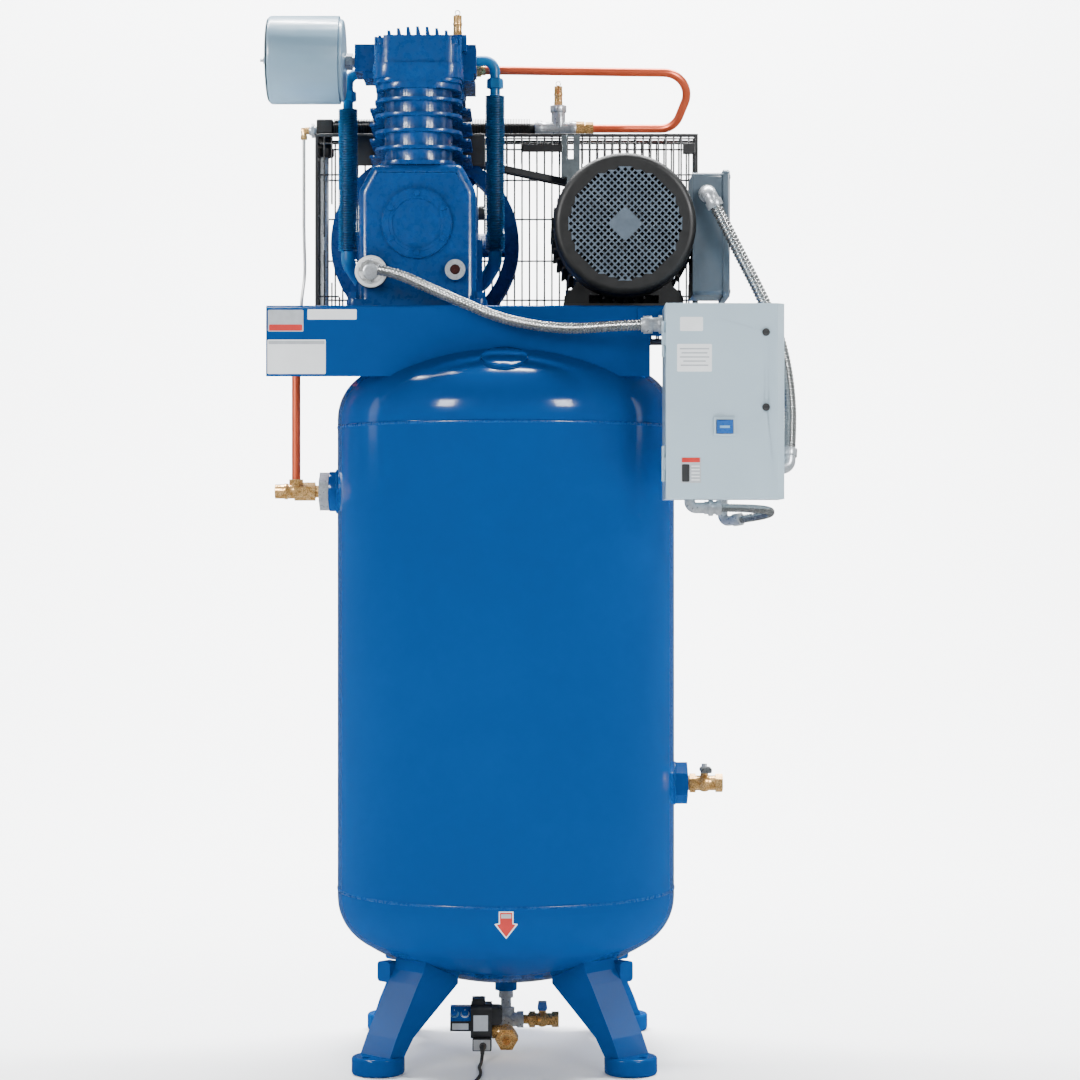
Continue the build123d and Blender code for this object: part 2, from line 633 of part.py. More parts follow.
def make_brass():
    head_nut = fused([hex_x((-62, -48), 142, 1803, 22), rod_x((-49, -40), 142, 1803, 9.5)])
    head_nut -= rod_x((-49.4, -39), 142, 1803, 8.2)
    tee_nut = fused([
        hex_x((130, 146), COOLER_Y, COOLER_Z - 2, 24),
        hex_x((148, 163), COOLER_Y, COOLER_Z - 2, 22),
        rod_x((144, 150), COOLER_Y, COOLER_Z - 2, 9),
    ])
    tee_nut -= rod_x((156, 170), COOLER_Y, COOLER_Z - 2, 8.1)
    elbow = fused([
        rod_x((-392, -376), COOLER_Y, 1703, 5),
        hex_x((-384, -376), COOLER_Y, 1703, 12),
        rod_z(-386.5, COOLER_Y, (1688, 1708), 5.4),
        hex_z(-386.5, COOLER_Y, (1686, 1694), 11),
    ])
    elbow -= rod_z(-386.5, COOLER_Y, (1680, 1700), 3.1)
    check_valve = fused([
        rod_x((-419, -380), 0, INLET_Z, 13),
        rod_x((-402, -396), 0, INLET_Z, 14.5),
        hex_x((-384, -346), 0, INLET_Z, 29),
        rod_x((-346, -338), 0, INLET_Z, 11),
        hex_z(-381, 0, (INLET_Z + 8, INLET_Z + 22), 22),
    ])
    check_valve -= rod_z(-381, 0, (INLET_Z + 14, INLET_Z + 30), 8.0)
    NODES["brass_fittings"] = group([head_nut, tee_nut, elbow, check_valve])


def make_pipe_fittings():
    tee = fused([
        rod_x((54, 130), COOLER_Y, COOLER_Z - 2, 12.5),
        rod_x((52, 66), COOLER_Y, COOLER_Z - 2, 15),
        rod_x((118, 130), COOLER_Y, COOLER_Z - 2, 15),
        rod_z(96.5, COOLER_Y, (COOLER_Z, 1750), 13),
        rod_z(96.5, COOLER_Y, (1738, 1750), 15.5),
    ])
    tee -= rod_z(96.5, COOLER_Y, (1735, 1751), 4.6)
    cap = fused([
        rod_x((-376, -362), COOLER_Y, 1703, 9),
        hex_x((-372, -366), COOLER_Y, 1703, 24),
    ])
    nipple = rod_x((-301, -273.1), 16, FILTER_Z, 10.8)
    nipple += hex_x((-291, -279), 16, FILTER_Z, 27)
    stud = rod_x((FILTER_X[0] - 14, FILTER_X[0] + 40), 0, FILTER_Z, 3)
    wing = hex_x((FILTER_X[0] - 8, FILTER_X[0] - 1), 0, FILTER_Z, 12)
    riser = rod_z(-347, COOLER_Y, (1320, 1652), 8)
    union = hex_z(-347, COOLER_Y, (1306, 1326), 25)
    union -= rod_z(-347, COOLER_Y, (1304, 1313), 7.95)
    bushing = hex_x((-338, -321), 0, INLET_Z, 60)
    bushing += rod_x((-322, -296), 0, INLET_Z, 23.8)
    bushing -= rod_x((-347, -337), 0, INLET_Z, 11)
    NODES["pipe_fittings"] = group([tee, cap, nipple, fused([stud, wing]), fused([riser, union]), bushing])


def make_aftercooler():
    """A finned bar along the top of the belt guard, with a black elbow that turns down into the guard."""
    core = rod_x((-362, 52), COOLER_Y, COOLER_Z - 2, 10)
    fins = block((-332, 44), (COOLER_Y - 17, COOLER_Y + 17), (1695, 1723.5))
    end = block((-362, -330), (COOLER_Y - 15, COOLER_Y + 15), (1695, 1723.5))
    elbow = fused([
        rod_z(-347, COOLER_Y, (1662, 1697), 12),
        hex_z(-347, COOLER_Y, (1652, 1668), 31),
    ])
    NODES["aftercooler"] = fused([core, fins, end, elbow]) - rod_z(-347, COOLER_Y, (1640, 1652.1), 9)


def make_unloader():
    line = [
        (-386.5, COOLER_Y, 1698),
        (-386.5, COOLER_Y, 1520),
        (-384, 226, 1430),
        (-386.5, 172, 1372),
        (-386.5, 172, 1322),
    ]
    NODES["unloader_tube"] = tube(line, [300, 60, 40], 3.0)


# ---------------------------------------------------------------- motor and belt drive
def make_motor():
    fins = [Circle(MOTOR_R)]
    for k in range(44):
        fin = Pos((MOTOR_R + MOTOR_FIN_R) / 2 - 3, 0) * Rectangle(MOTOR_FIN_R - MOTOR_R + 6, 3.6)
        fins.append(Rot(0, 0, k * 360 / 44) * fin)
    outline = (Sketch() + fins) - Circle(101)
    barrel = Plane.XZ * extrude(outline, -(MOTOR_Y[1] - MOTOR_Y[0]))
    barrel = Pos(MOTOR_X, MOTOR_Y[0], MOTOR_Z) * barrel
    front_bell = rod_y(MOTOR_X, (-112, MOTOR_Y[0]), MOTOR_Z, 110)
    front_bell -= rod_y(MOTOR_X, (-111, -97), MOTOR_Z, 32)
    front_bell -= rod_y(MOTOR_X, (-120, -90), MOTOR_Z, 20)
    rear_bell = rod_y(MOTOR_X, (150, 176), MOTOR_Z, 122)
    rear_bell = fillet(rear_bell.edges().sort_by(Axis.Y)[-1], 16)
    rear_bell -= rod_y(MOTOR_X, (149, 168), MOTOR_Z, 36)
    rear_bell -= rod_y(MOTOR_X, (140, 180), MOTOR_Z, 18.5)
    profile = [(-106, 1346), (106, 1346), (106, 1360), (80, 1386), (66, 1408), (-66, 1408), (-80, 1386), (-106, 1360)]
    saddle = make_face(Polyline(*[(MOTOR_X + x, z) for x, z in profile], close=True))
    saddle = Pos(0, -96, 0) * extrude(Plane.XZ * saddle, -236)
    arch = rod_y(MOTOR_X, (-111, 150), MOTOR_Z, MOTOR_R - 6)
    tunnel = block((MOTOR_X - 62, MOTOR_X + 62), (-111, 151), (1345, 1362))
    solid = fused([barrel, front_bell, rear_bell, saddle - arch - tunnel])
    holes = [rod_z(x, y, (1340, 1366), 6) for x, y in motor_bolt_places()]
    holes += [rod_z(x, y, (1360, 1390), 11.5) for x, y in motor_bolt_places()]
    NODES["motor_housing"] = solid - holes

    NODES["motor_stator"] = (
        rod_y(MOTOR_X, (-60, 112), MOTOR_Z, 100.5) - rod_y(MOTOR_X, (-61, 113), MOTOR_Z, 63)
    )
    blades = [rod_y(MOTOR_X, (-168, -128), MOTOR_Z, 26)]
    for k in range(8):
        blade = Pos(54, 0, 0) * Rot(14, 0, 0) * Box(70, 34, 3.5)
        blades.append(Pos(MOTOR_X, -148, MOTOR_Z) * Rot(0, 45 * k, 0) * blade)
    fan = fused(blades) - rod_y(MOTOR_X, (-170, -126), MOTOR_Z, 16)
    shaft = fused([
        rod_y(MOTOR_X, (-168, -128), MOTOR_Z, 16),
        rod_y(MOTOR_X, (-128, 280), MOTOR_Z, 17.5),
        rod_y(MOTOR_X, (-60, 112), MOTOR_Z, 62),
    ])
    NODES["motor_rotor"] = group([shaft, fan])

    y0, y1 = SHEAVE_Y
    sheave = rod_y(MOTOR_X, (y0, y1), MOTOR_Z, SHEAVE_R)
    sheave -= [v_groove(MOTOR_X, MOTOR_Z, y, SHEAVE_R) for y in BELT_Y]
    sheave -= bearing(MOTOR_X, (y0 - 1, y0 + 18), MOTOR_Z, 84, 34)
    sheave -= rod_y(MOTOR_X, (y0 - 5, y1 + 5), MOTOR_Z, 17.5)
    NODES["motor_sheave"] = sheave

    base = block((MOTOR_X - 108, MOTOR_X + 108), (-112, 150), (DECK_TOP, 1346))
    base -= [rod_z(x, y, (DECK_TOP - 1, 1347), 6) for x, y in motor_bolt_places()]
    bolts = [bolt_down(x, y, 1360.2, DECK_TOP - 14, 17, 5.5) for x, y in motor_bolt_places()]
    NODES["motor_base"] = group([base] + bolts)


def lattice_face(radius, pitch, bar, solid_centre):
    """A round sheet pierced by square holes set on the diagonal."""
    holes = []
    steps = int(radius / pitch) + 1
    for i in range(-steps, steps + 1):
        for j in range(-steps, steps + 1):
            u, v = i * pitch, j * pitch
            r = sqrt(u * u + v * v)
            if solid_centre < r < radius - pitch * 0.75:
                holes.append(Pos(u, v) * Rectangle(pitch - bar, pitch - bar))
    return Rot(0, 0, 45) * (Circle(radius) - holes)


def make_cowl():
    skin = rod_y(MOTOR_X, (COWL_FRONT, -97), MOTOR_Z, COWL_R)
    skin = fillet(skin.edges().sort_by(Axis.Y)[0], 12)
    hollow = rod_y(MOTOR_X, (COWL_FRONT + 3, -96), MOTOR_Z, COWL_R - 2)
    hollow = fillet(hollow.edges().sort_by(Axis.Y)[0], 10)
    skin -= hollow
    skin -= rod_y(MOTOR_X, (COWL_FRONT - 1, COWL_FRONT + 4), MOTOR_Z, GRILLE_R)
    grille = extrude(Plane.XZ * lattice_face(GRILLE_R, 8.4, 2.6, 24), 3)
    grille = Pos(MOTOR_X, COWL_FRONT + 3, MOTOR_Z) * grille
    NODES["motor_cowl"] = fused([skin, grille])


def make_conduit_box():
    body = block((332, 386), (-125, 10), (1360, 1577))
    body = fillet(body.edges().filter_by(Axis.X), 8)
    cover = block((386, 398), (-130, 15), (1355, 1582))
    cover = fillet(cover.edges().filter_by(Axis.X), 10)
    cover = fillet(cover.faces().sort_by(Axis.X)[-1].edges(), 4)
    body -= rod_y(MOTOR_X, (-130, -96), MOTOR_Z, COWL_R + 0.4)
    body -= rod_y(MOTOR_X, (-97, 15), MOTOR_Z, MOTOR_FIN_R + 0.2)
    hollow = block((346, 387), (-121, 6), (1364, 1573))
    NODES["motor_conduit_box"] = group([body - hollow, cover])


def tangent_loop(big, small):
    """The filled outline of a belt round both wheels, in the X-Z plane."""
    dx = MOTOR_X - CRANK_X
    dz = MOTOR_Z - CRANK_Z
    spread = acos((big - small) / sqrt(dx * dx + dz * dz))
    lean = atan2(dz, dx)
    corners = []
    for side in (1, -1):
        angle = lean + side * spread
        on_big = (CRANK_X + big * cos(angle), CRANK_Z + big * sin(angle))
        on_small = (MOTOR_X + small * cos(angle), MOTOR_Z + small * sin(angle))
        corners += [on_big, on_small] if side > 0 else [on_small, on_big]
    disc_big = Pos(CRANK_X, CRANK_Z) * Circle(big)
    disc_small = Pos(MOTOR_X, MOTOR_Z) * Circle(small)
    return disc_big + disc_small + make_face(Polyline(*corners, close=True))


def make_belts():
    outer = tangent_loop(FLYWHEEL_R + 0.5, SHEAVE_R + 0.5)
    inner = tangent_loop(FLYWHEEL_R - 11.5, SHEAVE_R - 11.5)
    belts = []
    for y in BELT_Y:
        belts.append(Pos(0, y + 6.6, 0) * extrude(Plane.XZ * (outer - inner), 13.2))
    NODES["v_belts"] = group(belts)


def mesh_sheet(width, height, across, up, thick):
    """A flat welded mesh in X-Y with a corner at the origin: uprights at a pitch, rails at given heights."""
    bars = []
    n = round(width / across)
    for k in range(1, n):
        bars.append(Pos(k * width / n, height / 2) * Rectangle(MESH_WIRE, height))
    for v in up:
        bars.append(Pos(width / 2, v) * Rectangle(width, MESH_WIRE))
    return extrude(Sketch() + bars, thick)


def make_guard():
    x0, x1 = GUARD_X
    y0, y1 = GUARD_Y
    z0, z1 = GUARD_Z
    g = GUARD_ROD
    rods = []
    for y in (y0, y1 - g):
        rods += [
            block((x0, x1), (y, y + g), (z0, z0 + g)),
            block((x0, x1), (y, y + g), (z1 - g, z1)),
            block((x0, x0 + g), (y, y + g), (z0, z1)),
            block((x1 - g, x1), (y, y + g), (z0, z1)),
        ]
    for x in (x0, x1 - g):
        for z in (z0, z1 - g):
            rods.append(block((x, x + g), (y0, y1), (z, z + g)))
    rods.append(block((29, 104), (y0 - 12, y0), (1658, 1671)))
    rods.append(block((331, 354), (y0 - 10, y0 + 1), (1654, 1673)))
    for x in (-256, 142):
        rods.append(block((x, x + 34), (190, 194), (1240, z0)))
        rods.append(block((x, x + 34), (190, y1 - 4), (z0 - 5, z0)))
    rods.append(block((-284, -42), (y0 - 4, y0 + 1), (1632, z1 - 3)))
    fork = block((102, 137), (y0 - 4, y0 + 1), (1608, z1 - 3)) - block((112, 124.6), (y0 - 5, y0 + 2), (1645, z1 - 2))
    step = block((108, 136), (176.1, y0), (1608, 1612))
    strap = block((112, 140), (176.1, 180), (1520, 1612))
    rods += [fork, step, strap]
    riser_gap = rod_z(-347, COOLER_Y, (1640, 1700), 13)
    NODES["belt_guard_frame"] = fused(rods) - riser_gap

    width = x1 - x0 - 2 * g
    height = z1 - z0 - 2 * g
    rails = (80, 155, 235, 310, height - 12)
    rear = Pos(x0 + g, y1 - 1.5, z0 + g) * Rot(90, 0, 0) * mesh_sheet(width, height, 14.3, rails, MESH_WIRE)
    front = Pos(x0 + g, y0 + 4.5, z0 + g) * Rot(90, 0, 0) * mesh_sheet(width, height, 14.3, rails, MESH_WIRE)
    openings = [
        rod_y(CRANK_X, (y0 - 5, y0 + 8), CRANK_Z, 190),
        rod_y(MOTOR_X, (y0 - 5, y0 + 8), MOTOR_Z, 150),
        block((CRANK_X, MOTOR_X), (y0 - 5, y0 + 8), (z0 - 1, CRANK_Z - 100)),
        block((CRANK_X + 40, MOTOR_X), (y0 - 5, y0 + 8), (CRANK_Z - 130, CRANK_Z + 150)),
    ]
    front = front - openings
    front_pieces = [s for s in front.solids() if s.volume > 2500]
    depth = y1 - y0 - 2 * g
    rise = mesh_sheet(depth, height, 13.3, rails, MESH_WIRE)
    left = Plane(origin=(x0 + 1.5, y0 + g, z0 + g), x_dir=(0, 1, 0), z_dir=(1, 0, 0)) * rise
    left -= rod_z(-347, COOLER_Y, (z0, z0 + 36), 20)
    left -= rod_z(-347, COOLER_Y, (z1 - 46, z1), 20)
    right = Plane(origin=(x1 - 4.5, y0 + g, z0 + g), x_dir=(0, 1, 0), z_dir=(1, 0, 0)) * rise
    over = Pos(x0 + g, y0 + g, z1 - 4.5) * mesh_sheet(width, depth, 28.6, (depth / 2,), MESH_WIRE)
    over -= rod_z(-347, COOLER_Y, (1640, 1700), 22)
    under = Pos(x0 + g, y0 + g, z0 + 1.5) * mesh_sheet(width, depth, 28.6, (depth / 2,), MESH_WIRE)
    under -= rod_z(-347, COOLER_Y, (1290, 1330), 22)
    NODES["belt_guard_mesh"] = group([rear, *front_pieces, left, right, over, under])


# ---------------------------------------------------------------- control box and wiring
def make_control_box():
    x0, x1 = BOX_X
    z0, z1 = BOX_Z
    back = BOX_Y[1]
    skin = BOX_SKIN
    body = block((x0, x1), (DOOR_BACK + 0.5, back), (z0, z1))
    body -= block((x0 + skin, x1 - skin), (DOOR_BACK - 1, back - skin), (z0 + skin, z1 - skin))
    body -= rod_x((x0 - 1, x0 + 3), -250, 1297, 11)
    body -= rod_x((x1 - 3, x1 + 1), -222, 1050, 11)
    body -= rod_z(318, -280, (z0 - 1, z0 + 3), 8)
    body -= rod_z(370, -232, (z0 - 1, z0 + 3), 14.25)
    knuckles = []
    for z in (z0 + 60, z1 - 60):
        knuckles.append(rod_z(HINGE_X, HINGE_Y, (z - 30, z - 11), HINGE_R))
        knuckles.append(rod_z(HINGE_X, HINGE_Y, (z + 11, z + 30), HINGE_R))
        knuckles.append(rod_z(HINGE_X, HINGE_Y, (z - 30, z + 30), 1.5))
        for low in (-30, 11):
            knuckles.append(block((HINGE_X, x0 + 1), (DOOR_BACK + 0.6, HINGE_Y + 4), (z + low, z + low + 19)))
    NODES["control_box_body"] = fused([body] + knuckles)

    bevel_x, bevel_y = DOOR_BEVEL
    front = BOX_Y[0]

    def door_solid(inset, back_y):
        points = [
            (x0 + inset, back_y),
            (x0 + inset, front + inset),
            (x1 - bevel_x - inset * 0.4, front + inset),
            (x1 - inset, front + bevel_y + inset * 0.4),
            (x1 - inset, back_y),
        ]
        outline = make_face(Polyline(*points, close=True))
        return Pos(0, 0, z0 + inset) * extrude(outline, z1 - z0 - 2 * inset)

    door = door_solid(0, DOOR_BACK) - door_solid(skin, DOOR_BACK + 2)
    door -= block((BUTTON_X - 15, BUTTON_X + 15), (front - 1, front + 3), (BUTTON_Z - 12.5, BUTTON_Z + 12.5))
    door_knuckles = []
    for z in (z0 + 60, z1 - 60):
        sleeve = rod_z(HINGE_X, HINGE_Y, (z - 10.6, z + 10.6), HINGE_R)
        leaf = block((HINGE_X - 1, x0 + 1), (HINGE_Y - 7, HINGE_Y - 1.7), (z - 10.6, z + 10.6))
        sleeve = fused([sleeve, leaf]) - rod_z(HINGE_X, HINGE_Y, (z - 12, z + 12), 1.55)
        door_knuckles.append(sleeve)
    bezel = block((BUTTON_X - 18.5, BUTTON_X + 18.5), (front - 4, front), (BUTTON_Z - 16, BUTTON_Z + 16))
    bezel -= block((BUTTON_X - 14.5, BUTTON_X + 14.5), (front - 5, front + 1), (BUTTON_Z - 12, BUTTON_Z + 12))
    door = fused([door, bezel] + door_knuckles)
    for z in LATCH_Z.values():
        door -= rod_y(LATCH_X, (front - 1, front + 3), z, 4.05)
    NODES["control_box_door"] = door

    for name, z in LATCH_Z.items():
        head = rod_y(LATCH_X, (front - 3.5, front - 0.2), z, 6.5)
        head -= block((LATCH_X - 5.5, LATCH_X + 5.5), (front - 4, front - 2.2), (z - 0.9, z + 0.9))
        shank = rod_y(LATCH_X, (front - 0.2, front + 9), z, 4.0)
        cam = block((LATCH_X - 5, LATCH_X + 16), (front + 6, front + 9), (z - 5, z + 5))
        NODES["door_latch_" + name] = fused([head, shank, cam])
    button = block((BUTTON_X - 14, BUTTON_X + 14), (front - 7, front + 6), (BUTTON_Z - 11.5, BUTTON_Z + 11.5))
    front_edges = button.faces().sort_by(Axis.Y)[0].edges()
    NODES["start_button"] = fillet(front_edges, 1.5)

    gear = [
        block((x0 + 16, x1 - 16), (back - 6, back - 2.2), (z0 + 16, z1 - 16)),
        block((x0 + 30, x0 + 118), (back - 96, back - 6.1), (1180, 1290)),
        block((x0 + 34, x0 + 114), (back - 88, back - 6.1), (1104, 1178)),
        block((x0 + 132, x0 + 180), (back - 70, back - 6.1), (1200, 1270)),
    ]
    NODES["starter_gear"] = group(gear)


def make_pressure_switch():
    nipple = rod_x((300, 352), SWITCH_Y, SWITCH_Z, 8)
    base = block((352, 424), (-142, -62), (1012, 1046))
    base = fillet(base.edges().filter_by(Axis.Z), 8)
    cover = block((354, 422), (-140, -64), (1046.2, 1092))
    cover = fillet(cover.edges().filter_by(Axis.Z), 8)
    cover = fillet(cover.faces().sort_by(Axis.Z)[-1].edges(), 5)
    NODES["pressure_switch"] = group([fused([nipple, base]) - rod_z(386, -105, (1011, 1030), 7), cover])


OIL_CONDUIT = [
    (-222, -178, 1399),
    (-190, -181, 1394),
    (-132, -190, 1366),
    (-72, -205, 1339),
    (-12, -213, 1313),
    (52, -220, 1298),
    (120, -232, 1291),
    (190, -249, 1295.6),
    (236, -250, 1297),
]
MOTOR_CONDUIT = [
    (371, -158, 1512),
    (386, -159, 1482),
    (412, -160, 1430),
    (446, -163, 1364),
    (476, -168, 1298),
    (493, -178, 1228),
    (499, -192, 1160),
    (497, -206, 1108),
    (495, -213, 1084),
]
SWITCH_CONDUIT = [
    (372, -284, 981),
    (401, -284, 981),
    (440, -273, 979),
    (461, -238, 976),
    (463, -192, 972),
    (445, -153, 967),
    (418, -131, 963),
]
OIL_CONDUIT_R = 10.0
MOTOR_CONDUIT_R = 11.0
SWITCH_CONDUIT_R = 7.5


def lead_in(first, second, distance):
    """The point that lies the given distance before first, on the line through both."""
    a, b = Vector(*first), Vector(*second)
    return tuple(a + (a - b).normalized() * distance)


def collar(start, end, share, r):
    """A locknut or clamping ring on the line between two points, over the given (low, high) share of it."""
    a, b = Vector(*start), Vector(*end)
    plane = Plane(origin=a, z_dir=b - a)
    low, high = [(b - a).length * part for part in share]
    return plane * Pos(0, 0, (low + high) / 2) * Cylinder(r, high - low)


def elbow_fitting(port, corner, end, bend, r):
    """An angle connector from a port face round one corner to a conduit's end, with its two collars."""
    return fused([
        tube([port, corner, end], [bend], r),
        collar(port, corner, (0.0, 0.25), r + 3),
        collar(end, corner, (0.0, 0.4), r + 2.2),
    ])


def make_wiring():
    NODES["oil_switch_conduit"] = free_tube("oil switch conduit", OIL_CONDUIT, OIL_CONDUIT_R)
    NODES["motor_conduit"] = free_tube("motor conduit", MOTOR_CONDUIT, MOTOR_CONDUIT_R)
    NODES["pressure_switch_conduit"] = free_tube("pressure switch conduit", SWITCH_CONDUIT, SWITCH_CONDUIT_R)

    oil_corner = lead_in(OIL_CONDUIT[0], OIL_CONDUIT[1], 15)
    oil_port = (oil_corner[0], -152.2, oil_corner[2])
    oil_angle = elbow_fitting(oil_port, oil_corner, OIL_CONDUIT[0], 9, 10.6)
    box_face = lead_in(OIL_CONDUIT[-1], OIL_CONDUIT[-2], BOX_X[0] - 0.5 - OIL_CONDUIT[-1][0])
    oil_end = fused([
        collar(OIL_CONDUIT[-1], box_face, (0.0, 1.0), 12.5),
        collar(OIL_CONDUIT[-1], box_face, (0.1, 0.5), 15.5),
        collar(OIL_CONDUIT[-1], box_face, (0.78, 0.97), 16.0),
    ])
    motor_corner = lead_in(MOTOR_CONDUIT[0], MOTOR_CONDUIT[1], 30)
    motor_port = (motor_corner[0], -125.1, motor_corner[2])
    motor_angle = elbow_fitting(motor_port, motor_corner, MOTOR_CONDUIT[0], 14, 12.5)
    box_corner = lead_in(MOTOR_CONDUIT[-1], MOTOR_CONDUIT[-2], 33)
    box_port = (BOX_X[1] + 0.1, box_corner[1], box_corner[2])
    motor_end = elbow_fitting(box_port, box_corner, MOTOR_CONDUIT[-1], 12, 12.0)
    start_x, start_y, start_z = SWITCH_CONDUIT[0]
    switch_out = fused([
        tube([(318, start_y, BOX_Z[0] - 0.1), (318, start_y, start_z), (start_x, start_y, start_z)], [11], 9.5),
        rod_x((343, start_x), start_y, start_z, 11),
        rod_x((350, 358), start_y, start_z, 14),
        rod_x((363, 370), start_y, start_z, 13),
    ])
    under_switch = lead_in(SWITCH_CONDUIT[-1], SWITCH_CONDUIT[-2], 41)
    switch_port = (under_switch[0], under_switch[1], 1011.9)
    switch_in = elbow_fitting(switch_port, under_switch, SWITCH_CONDUIT[-1], 12, 9.0)
    NODES["conduit_connectors"] = group([oil_end, oil_angle, motor_angle, motor_end, switch_out, switch_in])

    switch_disc = rod_y(-236, (-152, -140.1), 1399, 28)
    switch_disc = fillet(switch_disc.edges().sort_by(Axis.Y)[0], 3)
    sight_ring = rod_y(-88, (-146, -138), 1403, 18) - rod_y(-88, (-147, -141), 1403, 9)
    sight_glass = rod_y(-88, (-143, -141), 1403, 9)
    filler = rod_x((-52, -38), 40, 1524, 11)
    NODES["oil_ports"] = group([switch_disc, sight_ring, sight_glass, filler])


# ---------------------------------------------------------------- valves and drain
def ball_valve(length, across_flats):
    """A brass ball valve along +X from the origin, stem on +Z, with a round seat for its ball."""
    half = length / 2
    body = fused([
        rod_x((-14, 6), 0, 0, 8.5),
        rod_x((0, length), 0, 0, across_flats / 2 - 1.5),
        hex_x((2, 13), 0, 0, across_flats),
        hex_x((length - 13, length), 0, 0, across_flats - 1),
        Pos(half - 2, 0, 0) * Sphere(across_flats / 2 + 1),
        rod_z(half - 2, 0, (0, across_flats / 2 + 7), 7),
    ])
    body -= rod_x((-15, length), 0, 0, 6)
    body -= rod_x((length - PORT_THREAD, length + 1), 0, 0, 9.5)
    body -= Pos(half - 2, 0, 0) * Sphere(10.3)
    return body - rod_z(half - 2, 0, (0, across_flats), 3.3)


def valve_handle(length, across_flats, reach, grip_size):
    """Ball, stem and lever: the lever lies across the pipe, along -Y, when the valve is shut."""
    grip_width, grip_height = grip_size
    x = length / 2 - 2
    top = across_flats / 2 + 7
    ball = Pos(x, 0, 0) * Sphere(10.0) - rod_y(x, (-11, 11), 0, 6)
    stem = rod_z(x, 0, (8, top + 9), 3.0)
    hub = hex_z(x, 0, (top + 1.5, top + 8), 12)
    lever = block((x - 9, x + 9), (-reach, 9), (top + 1.2, top + 5.2))
    lever = fillet(lever.edges().filter_by(Axis.Z), 7)
    grip_x = (x - grip_width / 2, x + grip_width / 2)
    grip = block(grip_x, (-reach - 2, -reach * 0.4), (top + 0.8, top + 0.8 + grip_height))
    grip = fillet(grip.edges().filter_by(Axis.Y), 2.6)
    return fused([ball, stem, hub, lever, grip])


OUTLET_AT = (331.0, 0.0, OUTLET_Z)
DRAIN_AT = (40.0, 0.0, DRAIN_Z)


def make_valves():
    outlet = Pos(*OUTLET_AT) * ball_valve(62, 30)
    drain = Pos(*DRAIN_AT) * ball_valve(56, 26)
    NODES["ball_valve_bodies"] = group([outlet, drain])
    NODES["outlet_valve_handle"] = Pos(*OUTLET_AT) * valve_handle(62, 30, 62, (20, 9))
    NODES["drain_valve_handle"] = Pos(*DRAIN_AT) * valve_handle(56, 26, 30, (16, 15))


def make_drain():
    nipple = rod_z(0, 0, (70, 124), 9.5) - rod_z(0, 0, (69, 125), 7)
    coupling = rod_z(0, 0, (96, 109.5), 13.2) - rod_z(0, 0, (95, 111), 9.6)
    tee = fused([
        rod_z(0, 0, (44, 74), 14),
        rod_z(0, 0, (68, 78), 15.5),
        rod_x((0, 30), 0, DRAIN_Z, 13),
        rod_x((20, 32), 0, DRAIN_Z, 15),
        rod_y(0, (-30, 0), DRAIN_Z - 4, 13),
        Pos(0, 0, DRAIN_Z - 4) * Sphere(15),
    ])
    tee -= rod_z(0, 0, (70, 80), 9.6)
    tee -= rod_x((26, 40), 0, DRAIN_Z, 8.6)
    brass = fused([
        rod_y(0, (-44, -30), 42, 11),
        hex_y(2, (-86, -42), 34, 36),
        rod_y(2, (-94, -80), 34, 13),
        rod_x((-24, 2), -62, 44, 12),
    ])
    brass -= rod_y(2, (-95, -78), 34, 8)
    tee -= rod_y(0, (-46, -29), 42, 11)
    NODES["drain_piping"] = group([nipple, coupling, tee, brass])


COIL_X = (-62.0, -24.5)
KNOB_X = {"on": -91.5, "off": -72.5}


def timer_slope(x):
    """The plane of the timer's sloping dial face, with its origin on the face."""
    return Plane(origin=(x, -73, 78), x_dir=(1, 0, 0), z_dir=(0, -1, 1))


def make_auto_drain():
    x0, x1 = COIL_X
    coil = block((x0, x1), (-88, -34), (36, 96))
    coil = fillet(coil.edges().filter_by(Axis.X), 9)
    shoulder = block((x1 - 6, -6), (-84, -36), (60, 90))
    shoulder = fillet(shoulder.edges().filter_by(Axis.Y).sort_by(Axis.X)[-2:], 8)
    cap = block((x0 + 2, x1 - 12), (-82, -46), (94, 106))
    cap = fillet(cap.edges().filter_by(Axis.Z), 5)
    timer = block((-99, x0 + 1), (-84, -38), (49, 89))
    top_front = timer.edges().filter_by(Axis.X).sort_by(lambda e: e.center().Z - e.center().Y)[-1]
    timer = chamfer(top_front, 22)
    for name, x in KNOB_X.items():
        timer -= timer_slope(x) * Pos(0, 0, -3) * Cylinder(2.3, 8)
        knob = fused([
            Pos(0, 0, 3.3) * Cylinder(5.6, 6),
            Pos(0, 0, -2) * Cylinder(2.0, 5),
            Pos(0, 0, 7) * Box(1.8, 10, 2),
        ])
        NODES["timer_knob_" + name] = timer_slope(x) * knob
    plug_block = block((-59, -25), (-88, -52), (14, 35.9))
    plug_block = fillet(plug_block.edges().filter_by(Axis.Y), 2)
    gland = rod_y(-40, (-98, -87), 24, 6.2)
    NODES["auto_drain_coil"] = group([fused([coil, shoulder, cap, timer]), fused([plug_block, gland])])


CORD_R = 3.0
CORD_POINTS = [
    (-40, -98, 24),
    (-40, -114, 24),
    (-40.5, -127, 15),
    (-41.5, -138, 5.5),
    (-43, -156, 3.6),
    (-45, -184, 3.4),
    (-41, -222, 3.4),
    (-42, -264, 3.4),
    (-48, -302, 3.4),
    (-51, -338, 3.4),
    (-48, -372, 3.4),
    (-48, -404, 3.4),
]
COIL_CENTRE = (-90.0, -428.0)
COIL_INNER_R = 21.5
COIL_OUTER_R = 47.7
COIL_HEIGHT = 13.0
PLUG_START = (-16.0, -412.0, 11.2)


